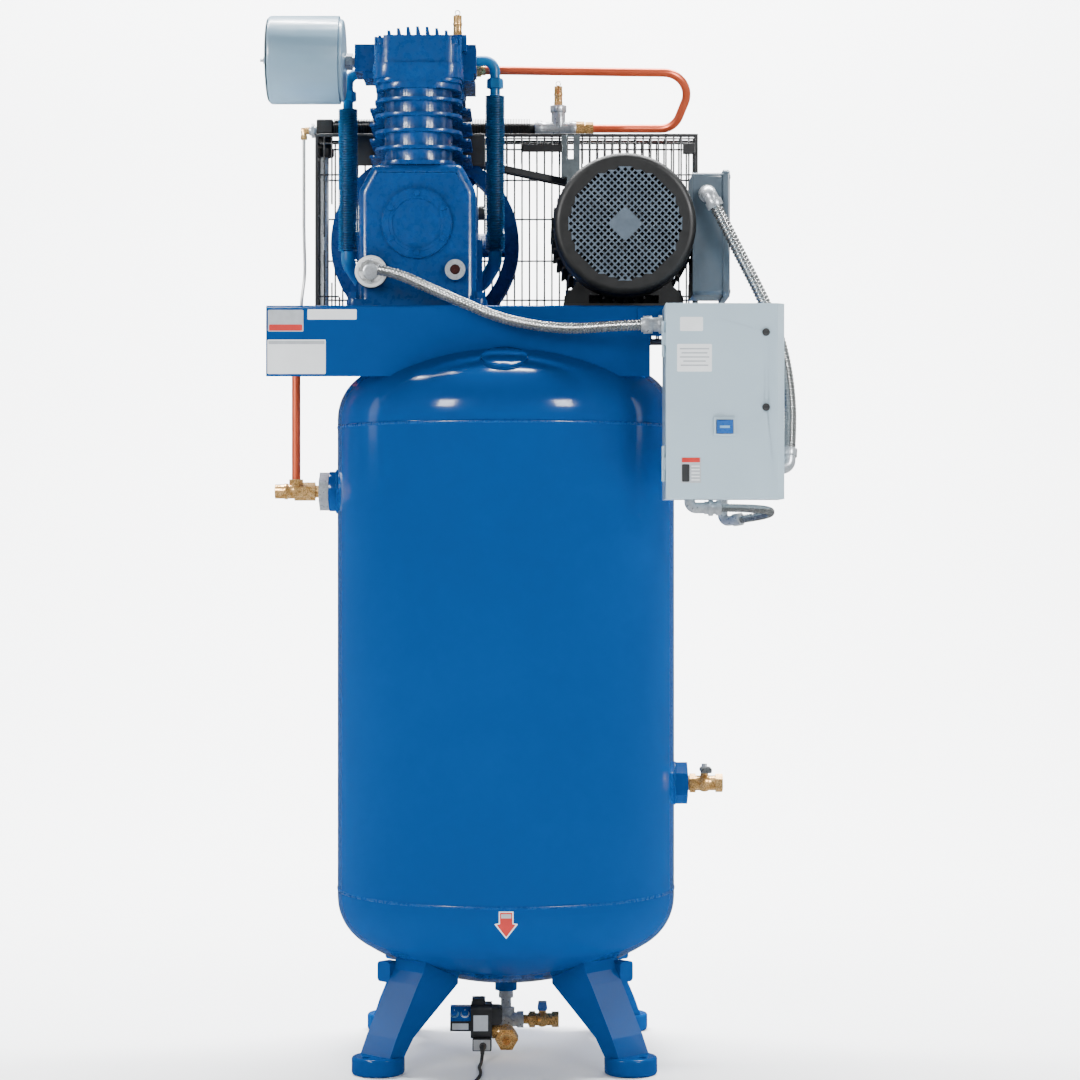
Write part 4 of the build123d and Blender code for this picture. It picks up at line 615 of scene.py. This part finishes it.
paint_faces("tank_shell", "weld_paint",
            lambda x, y, z: math.hypot(x, y) > TANK_R + 0.2 and min(abs(z - seam) for seam in SEAM_Z) < 3.4)


def side_port_weld(name, side, y, z, r, bead):
    """The fillet weld where a round port meets the shell."""
    line = []
    for k in range(WELD_POINTS):
        angle = 2 * math.pi * k / WELD_POINTS
        py = y + r * math.cos(angle)
        out = math.sqrt(TANK_R ** 2 - py ** 2) + 0.4
        line.append(Vector((side * out, py, z + r * math.sin(angle))) * MM)
    return weld(name, line, bead)


side_port_weld("inlet_port_weld", -1, 0.0, 1014.0, 37.0, 3.6)
side_port_weld("outlet_port_weld", 1, 0.0, 485.0, 36.0, 3.6)
side_port_weld("switch_port_weld", 1, -100.0, 1045.0, 20.0, 2.6)


def crown_boss_weld():
    """The weld round the pad on the front of the upper head."""
    lean = math.asin(-CROWN_PAD_Y / CROWN_R)
    outward = Vector((0, -math.sin(lean), math.cos(lean)))
    centre = Vector((0, 0, TOP_CROWN_CENTRE)) + outward * math.sqrt(CROWN_R ** 2 - CROWN_PAD_R ** 2)
    across, up = Vector((1, 0, 0)), Vector((0, math.cos(lean), math.sin(lean)))
    line = []
    for k in range(WELD_POINTS):
        angle = 2 * math.pi * k / WELD_POINTS
        line.append((centre + (across * math.cos(angle) + up * math.sin(angle)) * CROWN_PAD_R) * MM)
    return weld("crown_boss_weld", line, 1.8)


crown_boss_weld()


ARROW_X = 4.0


def drain_arrow(name, outline, finish, lift):
    """A sticker pointing down to the drain, wrapped on the front of the receiver."""
    verts, faces, rows = [], [], 24
    z_high = max(z for _, z in outline)
    z_low = min(z for _, z in outline)
    for i in range(rows + 1):
        z = z_high + (z_low - z_high) * i / rows
        reach = max(0.05, half_width(outline, z))
        for k in range(9):
            x = ARROW_X + reach * (k / 4 - 1)
            r = tank_radius(z) + lift
            verts.append(Vector((x, -math.sqrt(r * r - x * x), z)) * MM)
    for i in range(rows):
        for k in range(8):
            a = i * 9 + k
            faces.append((a, a + 9, a + 10, a + 1))
    return piece(name, verts, faces, finish)


def half_width(outline, z):
    """Half the width of a symmetric outline at a height; the outline runs downwards as (half width, z)."""
    for (w0, z0), (w1, z1) in zip(outline, outline[1:]):
        if z1 <= z <= z0 and z0 > z1:
            return w0 + (w1 - w0) * (z0 - z) / (z0 - z1)
    return outline[-1][0]


drain_arrow("drain_arrow_edge", [(12.5, 292.5), (12.5, 272.2), (21, 272), (0.2, 245)], "label", 0.15)
drain_arrow("drain_arrow_face", [(10.6, 290.7), (10.6, 270.4), (16.6, 270.2), (0.2, 248)], "label_red", 0.35)
drain_arrow("drain_arrow_band", [(8.6, 288), (8.6, 281)], "label_grey", 0.5)

# ---------------------------------------------------------------- deck labels, left blank
DECK_FRONT = -190.0
sheet_label("deck_label_upper", (-382.5, DECK_FRONT, 1309), (62, 38), "label_grey")
sheet_label("deck_label_upper_band", (-382.5, DECK_FRONT - 0.3, 1297), (58, 11), "label_red", thick=0.15)
sheet_label("deck_label_small", (-301.5, DECK_FRONT, 1320), (86, 18), "label")
sheet_label("deck_label_lower", (-363.5, DECK_FRONT, 1246), (102, 60), "label")
sheet_label("deck_label_lower_band", (-363.5, DECK_FRONT - 0.3, 1271), (98, 6), "label_grey", thick=0.15)

# ---------------------------------------------------------------- cooling: finned legs and aftercooler
COOLER_LEG_Y = 105.0
LEFT_LEG_X = -294.0
RIGHT_LEG_X = -21.7
LEG_PIPE_R = 9.5
LEG_FIN_R = 18.0
LEG_FIN_PITCH = 3.1
BEND_PIPE_R = 13.0


def fin_stack(name, x, low, high):
    """The round fins on one leg of the intercooler."""
    profile = []
    z = low
    while z + LEG_FIN_PITCH <= high:
        profile += [(z - low, LEG_PIPE_R + 0.8), (z - low + 0.35, LEG_FIN_R), (z - low + 1.05, LEG_FIN_R),
                    (z - low + 1.4, LEG_PIPE_R + 0.8)]
        z += LEG_FIN_PITCH
    return lathe(name, profile, (x, COOLER_LEG_Y, low), (0, 0, 1), "fin_paint", segments=40)


def intercooler():
    """The finned pipe from one side of the head, down round the crankcase and up to the other side."""
    path = [
        (-251, COOLER_LEG_Y, 1790), (LEFT_LEG_X, COOLER_LEG_Y, 1790), (LEFT_LEG_X, COOLER_LEG_Y, 1438),
        (-268, 152, 1400), (-48, 152, 1400), (RIGHT_LEG_X, COOLER_LEG_Y, 1438),
        (RIGHT_LEG_X, COOLER_LEG_Y, 1814), (-62, COOLER_LEG_Y, 1814),
    ]
    verts, faces = [], []
    tube_along(bent_line(path, [20, 30, 24, 24, 30, 20]), lambda i: LEG_PIPE_R * MM, 28, verts, faces)
    pipe = piece("intercooler_pipe", verts, faces, "fin_paint")
    sharpened(pipe, 50)
    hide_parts("intercooler")
    lower = [(LEFT_LEG_X, COOLER_LEG_Y, 1460), *path[2:6], (RIGHT_LEG_X, COOLER_LEG_Y, 1460)]
    verts, faces = [], []
    tube_along(bent_line(lower, [20, 24, 24, 20]), lambda i: BEND_PIPE_R * MM, 32, verts, faces)
    sharpened(piece("intercooler_lower_bend", verts, faces, "fin_paint"), 50)
    fin_stack("intercooler_fins_left", LEFT_LEG_X, 1462, 1727)
    fin_stack("intercooler_fins_right", RIGHT_LEG_X, 1462, 1752)
    hex_nut("intercooler_nut_left", (LEFT_LEG_X, COOLER_LEG_Y, 1739), (0, 0, 1), 18, 27, "fin_paint")
    hex_nut("intercooler_nut_right", (RIGHT_LEG_X, COOLER_LEG_Y, 1763), (0, 0, 1), 18, 27, "fin_paint")
    hex_nut("intercooler_drain_plug", (-158, 152, 1387), (0, 0, -1), 8, 14, "zinc")


intercooler()

AFTERCOOLER_Z = 1707.0


def aftercooler():
    """The black finned cooler along the top of the guard, with the drop to the tank line at its left end."""
    y = RISER_Y
    core = lathe("aftercooler_core", [(0, 10), (414, 10)], (-362, y, AFTERCOOLER_Z), (1, 0, 0),
                 "motor_paint")
    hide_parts("aftercooler")
    plates = [((x, x + 1.0), (y - 16.5, y + 16.5), (1695.2, 1723.2)) for x in range(-328, 42, 3)]
    boxes("aftercooler_fins", plates, "motor_paint", bevel=0)
    boxes("aftercooler_header", [((-362, -330), (y - 15, y + 15), (1695, 1723.4))], "motor_paint",
          bevel=0.003)
    profile = [(0, 12), (29, 12), (29, 13.5), (35, 13.5), (35, 12)]
    lathe("aftercooler_drop", profile, (RISER_X, y, 1697), (0, 0, -1), "motor_paint")
    hex_nut("aftercooler_union", (RISER_X, y, 1668), (0, 0, -1), 16, 31, "motor_paint")


aftercooler()

# ---------------------------------------------------------------- belt guard wires
GUARD_X = (-363.0, 360.0)
GUARD_Y = (198.0, 290.0)
GUARD_Z = (1300.0, 1693.0)
WIRE_R = 1.7
RAIL_HEIGHTS = (80, 155, 235, 310, 369)


def guard_hole(x, z):
    """Whether a point of the guard's front panel is in the cut-out round the two wheels' hubs."""
    pump = math.hypot(x - CRANK_X, z - CRANK_Z) < 190
    motor = math.hypot(x - MOTOR_X, z - MOTOR_Z) < 150
    between = CRANK_X < x < MOTOR_X and z < 1386 or -116 < x < MOTOR_X and 1356 < z < 1636
    return pump or motor or between


def kept_runs(a, b, hole, shortest=12.0):
    """The stretches of a straight wire that lie outside a hole, found to the millimetre."""
    a, b = Vector(a), Vector(b)
    count = max(2, int((b - a).length))
    runs, start = [], None
    for i in range(count + 1):
        p = a.lerp(b, i / count)
        if hole(p.x, p.z):
            if start is not None and (last - start).length > shortest:
                runs.append((start, last))
            start = None
        else:
            start = p if start is None else start
            last = p
    if start is not None and (last - start).length > shortest:
        runs.append((start, last))
    return runs


def guard_mesh():
    """Every wire of the guard: front and back panels, both ends, top and bottom."""
    x0, x1 = GUARD_X[0] + 3, GUARD_X[1] - 3
    z0, z1 = GUARD_Z[0] + 3, GUARD_Z[1] - 3
    y_back, y_front = GUARD_Y[1] - 3, GUARD_Y[0] + 3
    runs = []
    columns = 50
    for k in range(1, columns):
        x = x0 + (x1 - x0) * k / columns
        runs.append(((x, y_back, z0), (x, y_back, z1)))
        runs += kept_runs((x, y_front, z0), (x, y_front, z1), guard_hole)
    for height in RAIL_HEIGHTS:
        z = z0 + 3 + height
        runs.append(((x0, y_back - 2.6, z), (x1, y_back - 2.6, z)))
        runs += kept_runs((x0, y_front + 2.6, z), (x1, y_front + 2.6, z), guard_hole, 24.0)
    for k in range(1, 6):
        y = y_front + (y_back - y_front) * k / 6
        beside_riser = abs(y - RISER_Y) < 20
        high = z1 - 44 if beside_riser else z1
        low = z0 + 34 if beside_riser else z0
        runs.append(((x0, y, low), (x0, y, high)))
        runs.append(((x1, y, z0), (x1, y, z1)))
    for height in RAIL_HEIGHTS:
        z = z0 + 3 + height
        for x in (x0 + 2.6, x1 - 2.6):
            runs.append(((x, y_front, z), (x, y_back, z)))
    for z in (z0, z1):
        for k in range(1, 25):
            x = x0 + (x1 - x0) * k / 25
            if abs(x - RISER_X) > 22:
                runs.append(((x, y_front, z), (x, y_back, z)))
        runs.append(((-322, 244, z), (x1, 244, z)))
    made = bars("guard_wires", runs, WIRE_R, "black_wire")
    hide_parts("belt_guard_mesh")


guard_mesh()

# ---------------------------------------------------------------- air filter
FILTER_Z = 1797.0
FILTER_R = 79.4
seam = [(0, FILTER_R - 1.2), (1.2, FILTER_R - 0.05), (3.8, FILTER_R - 0.05), (5.0, FILTER_R - 1.2)]
lathe("filter_rolled_edge", seam, (-306, 0, FILTER_Z), (1, 0, 0), "filter_paint", segments=120)
lathe("filter_cover_washer", [(0, 11), (1.2, 10.6), (1.2, 4)], (-432.6, 0, FILTER_Z), (-1, 0, 0), "zinc")
threads("filter_stud_thread", (-446.4, 0, FILTER_Z), (1, 0, 0), 6.0, 2.9, "zinc", pitch=1.0)

# ---------------------------------------------------------------- pump details
lathe("oil_filler_cap", [(0, 12.5), (3, 13), (9, 13), (10.5, 11)], (-50, 40, 1524), (1, 0, 0),
      "black_plastic")
cover_ring = [(0, 60.5), (1.0, 60.0), (1.0, 50), (0, 49.4)]
lathe("crankcase_cover_land", cover_ring, (CRANK_X, -136.4, CRANK_Z), (0, -1, 0), "pump_paint", segments=96,
      close=True)
SIGHT_GLASS_X, SIGHT_GLASS_Z = -88.0, 1403.0
OIL_SWITCH_X, OIL_SWITCH_Z = -236.0, 1399.0
OIL_SWITCH_FACE = (OIL_SWITCH_X, -151.8, OIL_SWITCH_Z)
paint_faces("oil_ports", "glass_dark",
            lambda x, y, z: math.hypot(x - SIGHT_GLASS_X, z - SIGHT_GLASS_Z) < 9.1 and y < -141.5)
paint_faces("oil_ports", "grey_plastic", lambda x, y, z: x < -200)
lathe("oil_switch_bezel", [(0, 28.4), (1.4, 27.8), (2.0, 26.4), (2.0, 22.6), (0.2, 21.6)], OIL_SWITCH_FACE,
      (0, -1, 0), "white_plastic", segments=64)
lathe("oil_switch_gasket", [(0, 29.4), (1.6, 29.4), (1.6, 27)], (OIL_SWITCH_X, -140.2, OIL_SWITCH_Z),
      (0, -1, 0), "rubber", segments=64)
lathe("oil_switch_hub", [(0, 14.5), (1.8, 14.0), (2.4, 12.8), (2.4, 9)], OIL_SWITCH_FACE, (0, -1, 0), "zinc")
for side, above in (("upper", 20), ("lower", -20)):
    lathe(f"oil_switch_screw_{side}", [(0, 2.6), (1.0, 2.6), (1.5, 1.56)],
          (OIL_SWITCH_X, -151.9, OIL_SWITCH_Z + above), (0, -1, 0), "zinc", segments=20)

# ---------------------------------------------------------------- motor details
for number, (y, z) in enumerate(((-118, 1367), (3, 1367), (-118, 1570), (3, 1570)), 1):
    lathe(f"conduit_box_screw_{number}", [(0, 4.4), (1.2, 4.2), (1.7, 2.5)], (397.9, y, z), (1, 0, 0), "zinc",
          segments=24)
boxes("motor_plate_blank", [((196, 246), (-20, 40), (1611.2, 1612.0))], "alloy", bevel=0.0003)
COWL_SCREW_R = 119.0
for number, angle in enumerate((45, 135, 225, 315), 1):
    out = Vector((math.cos(math.radians(angle)), 0, math.sin(math.radians(angle))))
    place = Vector((MOTOR_X, -112, MOTOR_Z)) + out * COWL_SCREW_R
    lathe(f"cowl_screw_{number}", [(5.0, 3.6), (6.6, 3.4), (7.0, 2.0)], place, out, "zinc", segments=20)

GRILLE_R = 103.0
paint_faces("motor_cowl", "grille_paint",
            lambda x, y, z: y < -176 and math.hypot(x - MOTOR_X, z - MOTOR_Z) < GRILLE_R + 0.5, corners=True)
paint_faces("motor_rotor", "black_plastic", lambda x, y, z: y < -125)
paint_faces("belt_guard_frame", "dark_steel",
            lambda x, y, z: 101 < x < 141 and y < 199.5 and 1519 < z < 1690)

# ---------------------------------------------------------------- control box
DOOR_FRONT = -335.0
sheet_label("door_plate_maker_blank", (318.4, DOOR_FRONT, 1292), (39, 24), "label", "door")
sheet_label("door_label_notice", (323.4, DOOR_FRONT, 1234.7), (59, 47), "label", "door")
for number, width in enumerate((50, 44, 50, 38, 47)):
    sheet_label(f"door_label_notice_rule_{number + 1}", (323.4, DOOR_FRONT - 0.3, 1250 - 7 * number),
                (width, 2.2), "label_grey", "door", 0.12)
sheet_label("door_label_caution", (317.4, DOOR_FRONT, 1044.6), (34, 44), "label_grey", "door")
sheet_label("door_label_caution_band", (317.4, DOOR_FRONT - 0.3, 1061.5), (31, 8), "label_red", "door", 0.12)
sheet_label("door_label_caution_left", (308.6, DOOR_FRONT - 0.3, 1039.5), (13, 30), "black_plastic", "door",
            0.12)
for number in range(5):
    sheet_label(f"door_label_caution_rule_{number + 1}", (325.2, DOOR_FRONT - 0.3, 1051 - 5.8 * number),
                (14, 2.0), "label", "door", 0.12)
gasket_runs = [((279, 473), (-318.9, -316.6), (z, z + 4)) for z in (999.5, 1319.5)]
gasket_runs += [((x, x + 4), (-318.9, -316.6), (999.5, 1323.5)) for x in (279, 469)]
boxes("control_box_gasket", gasket_runs, "rubber", bevel=0)
paint_faces("starter_gear", "box_inside", lambda x, y, z: y > -202)
paint_faces("starter_gear", "grey_plastic", lambda x, y, z: y < -202 and z > 1199 and x > 400)
boxes("start_button_mark", [((366, 383), (-342.3, -341.8), (1115.6, 1119.6))], "pale_blue", "button", 0)
for row, z in (("line", 1284), ("load", 1186)):
    for number in range(3):
        x = 319 + 28 * number
        lathe(f"contactor_screw_{row}_{number + 1}", [(0, 4.2), (1.6, 4.0), (2.2, 2.6)], (x, -291.2, z),
              (0, -1, 0), "zinc", segments=20)
boxes("contactor_armature", [((330, 368), (-297, -290.8), (1218, 1252))], "grey_plastic", bevel=0.001)
lathe("overload_dial", [(0, 9), (3, 8.6), (3.4, 7)], (360, -283.2, 1140), (0, -1, 0), "blue_plastic",
      segments=32)
boxes("overload_reset", [((318, 328), (-287, -282.8), (1132, 1142))], "label_red", bevel=0.0006)

# ---------------------------------------------------------------- fittings
threads("outlet_tail_thread", (317, 0, 485), (1, 0, 0), 14.0, 8.4, "brass")
threads("drain_nipple_thread_upper", (0, 0, 110), (0, 0, 1), 12.0, 9.5, "zinc")
threads("drain_nipple_thread_lower", (0, 0, 79), (0, 0, 1), 9.0, 9.5, "zinc")
threads("riser_thread_lower", (RISER_X, RISER_Y, 1326.5), (0, 0, 1), 14.0, 8.0, "zinc")
threads("riser_thread_upper", (RISER_X, RISER_Y, 1634), (0, 0, 1), 17.0, 8.0, "zinc")
threads("inlet_bushing_thread", (-321, 0, 1014), (1, 0, 0), 3.0, 23.9, "zinc")
threads("check_valve_thread", (-346, 0, 1014), (1, 0, 0), 8.0, 10.9, "brass")
hex_nut("outlet_stem_nut", (360, 0, 514.8), (0, 0, 1), 5.2, 9, "zinc", "outlet_handle")
hex_nut("drain_stem_nut", (66, 0, 82.8), (0, 0, 1), 4.2, 8, "zinc", "drain_handle")

# ---------------------------------------------------------------- drain timer and coil
boxes("connector_face", [((-57, -27), (-88.9, -87.9), (15.5, 34.5))], "grey_plastic", bevel=0.0004)
lathe("connector_screw", [(0, 2.6), (0.8, 2.5), (1.1, 1.5)], (-42, -88.8, 30), (0, -1, 0), "zinc",
      segments=20)
boxes("coil_label_blank", [((-57, -31), (-88.3, -87.9), (50, 78))], "label_grey", bevel=0)
boxes("timer_label_blank", [((-95, -66), (-84.3, -83.9), (52, 63))], "label_grey", bevel=0)
for number, x in enumerate((-57, -38), 1):
    lathe(f"coil_cap_screw_{number}", [(0, 2.4), (0.8, 2.3), (1.1, 1.3)], (x, -64, 105.9), (0, 0, 1), "zinc",
          segments=20)


KNOBS = {"on": -91.5, "off": -72.5}
DIAL_R = 8.2


def on_slope(x, across, up, lift):
    """A point on the timer's sloping face: across along X, up the slope, and lift off it, in mm."""
    root = math.sqrt(0.5)
    return Vector((x + across, -73 + root * up - root * lift, 78 + root * up + root * lift))


def dial(name, x, finish):
    """A round scale under a timer knob, with eleven raised ticks."""
    rim = [(0.0, DIAL_R), (0.45, DIAL_R - 0.2), (0.45, 2)]
    lathe(name, rim, on_slope(x, 0, 0, 0), (0, -1, 1), finish)
    verts, faces = [], []
    for k in range(11):
        angle = math.radians(-150 + 30 * k)
        n = len(verts)
        for radial in (6.0, 7.6):
            for wide in (-0.3, 0.3):
                across = radial * math.sin(angle) + wide * math.cos(angle)
                up = radial * math.cos(angle) - wide * math.sin(angle)
                for lift in (0.3, 0.62):
                    verts.append(on_slope(x, across, up, lift) * MM)
        faces += [tuple(n + k for k in face) for face in BOX_FACES]
    piece(name + "_ticks", verts, faces, "black_plastic", smooth=False)


dial("timer_dial_on", KNOBS["on"], "pale_blue")
dial("timer_dial_off", KNOBS["off"], "label")
for which, x in KNOBS.items():
    verts = [on_slope(x, across, up, lift) * MM
             for across in (-0.4, 0.4) for up in (1.0, 4.6) for lift in (7.6, 8.12)]
    piece(f"timer_knob_{which}_pointer", verts, BOX_FACES, "label", f"knob_{which}", smooth=False)
paint_faces("drain_piping", "brass", lambda x, y, z: y < -30.5)
paint_faces("auto_drain_coil", "blue_plastic", lambda x, y, z: x < -61.5 and z > 67.5)
paint_faces("drain_plug", "brass", lambda x, y, z: x > 24.5)

# ---------------------------------------------------------------- edges of the CAD pieces
SOFT_EDGES = {
    "crankcase": 0.0020, "cylinder_front": 0.0012, "cylinder_rear": 0.0012, "valve_plate": 0.0010,
    "cylinder_head": 0.0012, "crankcase_covers": 0.0012, "flywheel": 0.0012, "platform": 0.0008,
    "control_box_body": 0.0006, "control_box_door": 0.0009, "motor_housing": 0.0006, "motor_cowl": 0.0004,
    "motor_conduit_box": 0.0008, "motor_base": 0.0008, "belt_guard_frame": 0.0022, "pressure_switch": 0.0006,
    "brass_fittings": 0.0006, "pipe_fittings": 0.0008, "ball_valve_bodies": 0.0006, "drain_piping": 0.0008,
    "outlet_valve_handle": 0.0006, "drain_valve_handle": 0.0008, "pump_bolts": 0.0005, "tank_ports": 0.0010,
    "conduit_connectors": 0.0006, "auto_drain_coil": 0.0006, "relief_valve_bodies": 0.0004, "legs": 0.0012,
    "air_filter_canister": 0.0006, "oil_ports": 0.0005, "motor_sheave": 0.0008, "drain_plug": 0.0008,
    "starter_gear": 0.0006, "door_latch_upper": 0.0004, "door_latch_lower": 0.0004, "timer_knob_on": 0.0003,
    "timer_knob_off": 0.0003, "v_belts": 0.0006, "motor_rotor": 0.0005, "output_shaft": 0.0005,
}
for node, width in SOFT_EDGES.items():
    joined = NODES[node].modifiers.new("joined", "WELD")
    joined.merge_threshold = 0.00002
    rounding = NODES[node].modifiers.new("edge", "BEVEL")
    rounding.width = width
    rounding.segments = 3 if width > 0.001 else 2
    rounding.limit_method = "ANGLE"
    rounding.angle_limit = math.radians(34)
    rounding.harden_normals = True


# ---------------------------------------------------------------- studio, in metres
FLOOR_HALF_WIDTH = 9.0
FLOOR_FRONT_Y = -7.0
FLOOR_BACK_Y = 2.6
BACKDROP_BEND = 2.4
BACKDROP_HEIGHT = 8.0
ROOM_R = 8.5
ROOM_GLOW = 0.16


def studio_floor():
    """A plain pale floor that curves up into a backdrop."""
    profile = [(FLOOR_FRONT_Y, 0.0), (FLOOR_BACK_Y, 0.0)]
    for k in range(1, 17):
        angle = math.radians(90 * k / 16)
        profile.append((FLOOR_BACK_Y + BACKDROP_BEND * math.sin(angle),
                        BACKDROP_BEND * (1 - math.cos(angle))))
    profile.append((FLOOR_BACK_Y + BACKDROP_BEND, BACKDROP_HEIGHT))
    verts = [(x, y, z) for y, z in profile for x in (-FLOOR_HALF_WIDTH, FLOOR_HALF_WIDTH)]
    faces = [(2 * k, 2 * k + 1, 2 * k + 3, 2 * k + 2) for k in range(len(profile) - 1)]
    mesh = bpy.data.meshes.new("studio_floor")
    mesh.from_pydata(verts, [], faces)
    for polygon in mesh.polygons:
        polygon.use_smooth = True
    mesh.materials.append(MATS["floor"])
    made = bpy.data.objects.new("studio_floor", mesh)
    made.visible_glossy = False
    bpy.context.scene.collection.objects.link(made)


def reflected_room():
    """A dim grey dome that only glossy surfaces mirror, so the paint keeps its depth on a white floor."""
    material = bpy.data.materials.new("reflected_room")
    material.use_nodes = True
    tree = material.node_tree
    tree.nodes.clear()
    glow = tree.nodes.new("ShaderNodeEmission")
    glow.inputs["Color"].default_value = (0.92, 0.97, 1.0, 1.0)
    glow.inputs["Strength"].default_value = ROOM_GLOW
    end = tree.nodes.new("ShaderNodeOutputMaterial")
    tree.links.new(glow.outputs["Emission"], end.inputs["Surface"])
    mesh = bpy.data.meshes.new("reflected_room")
    ball = bmesh.new()
    bmesh.ops.create_icosphere(ball, subdivisions=4, radius=ROOM_R)
    ball.to_mesh(mesh)
    ball.free()
    mesh.materials.append(material)
    made = bpy.data.objects.new("reflected_room", mesh)
    made.visible_camera = False
    made.visible_diffuse = False
    made.visible_shadow = False
    made.visible_transmission = False
    bpy.context.scene.collection.objects.link(made)


def area_light(name, place, target, size, power, mirrored=True, lighting=True):
    """A soft lamp that lights the object, is mirrored in its gloss, or both."""
    data = bpy.data.lights.new(name, "AREA")
    data.shape = "RECTANGLE"
    data.size, data.size_y = size
    data.energy = power
    made = bpy.data.objects.new(name, data)
    made.location = place
    made.visible_glossy = mirrored
    made.visible_diffuse = lighting
    made.rotation_euler = (Vector(target) - Vector(place)).to_track_quat("-Z", "Y").to_euler()
    bpy.context.scene.collection.objects.link(made)


studio_floor()
reflected_room()
area_light("key_light", (-2.2, -4.2, 2.9), (0, 0, 0.9), (1.4, 1.8), 112, mirrored=False)
area_light("fill_light", (2.4, -4.2, 2.4), (0, 0, 0.9), (1.4, 1.8), 96, mirrored=False)
area_light("side_light_left", (-3.2, 0.4, 1.9), (0, 0, 1.2), (0.5, 1.4), 10)
area_light("side_light_right", (3.2, 0.4, 1.9), (0, 0, 1.2), (0.5, 1.4), 10)
area_light("lamp_left", (-2.6, -3.1, 2.7), (0, 0, 1.1), (0.8, 0.9), 300, lighting=False)
area_light("lamp_right", (2.6, -3.1, 2.7), (0, 0, 1.1), (0.8, 0.9), 300, lighting=False)
area_light("backdrop_light", (0, 1.6, 6.0), (0, 4.8, 1.0), (6.0, 1.0), 1900)
area_light("backdrop_light_low", (0, 1.3, 5.6), (0, 3.2, 0.0), (6.0, 1.0), 760)

world = bpy.data.worlds.new("studio_world")
world.use_nodes = True
world.node_tree.nodes["Background"].inputs["Color"].default_value = (0.94, 0.97, 1.0, 1.0)
world.node_tree.nodes["Background"].inputs["Strength"].default_value = 0.06
bpy.context.scene.world = world
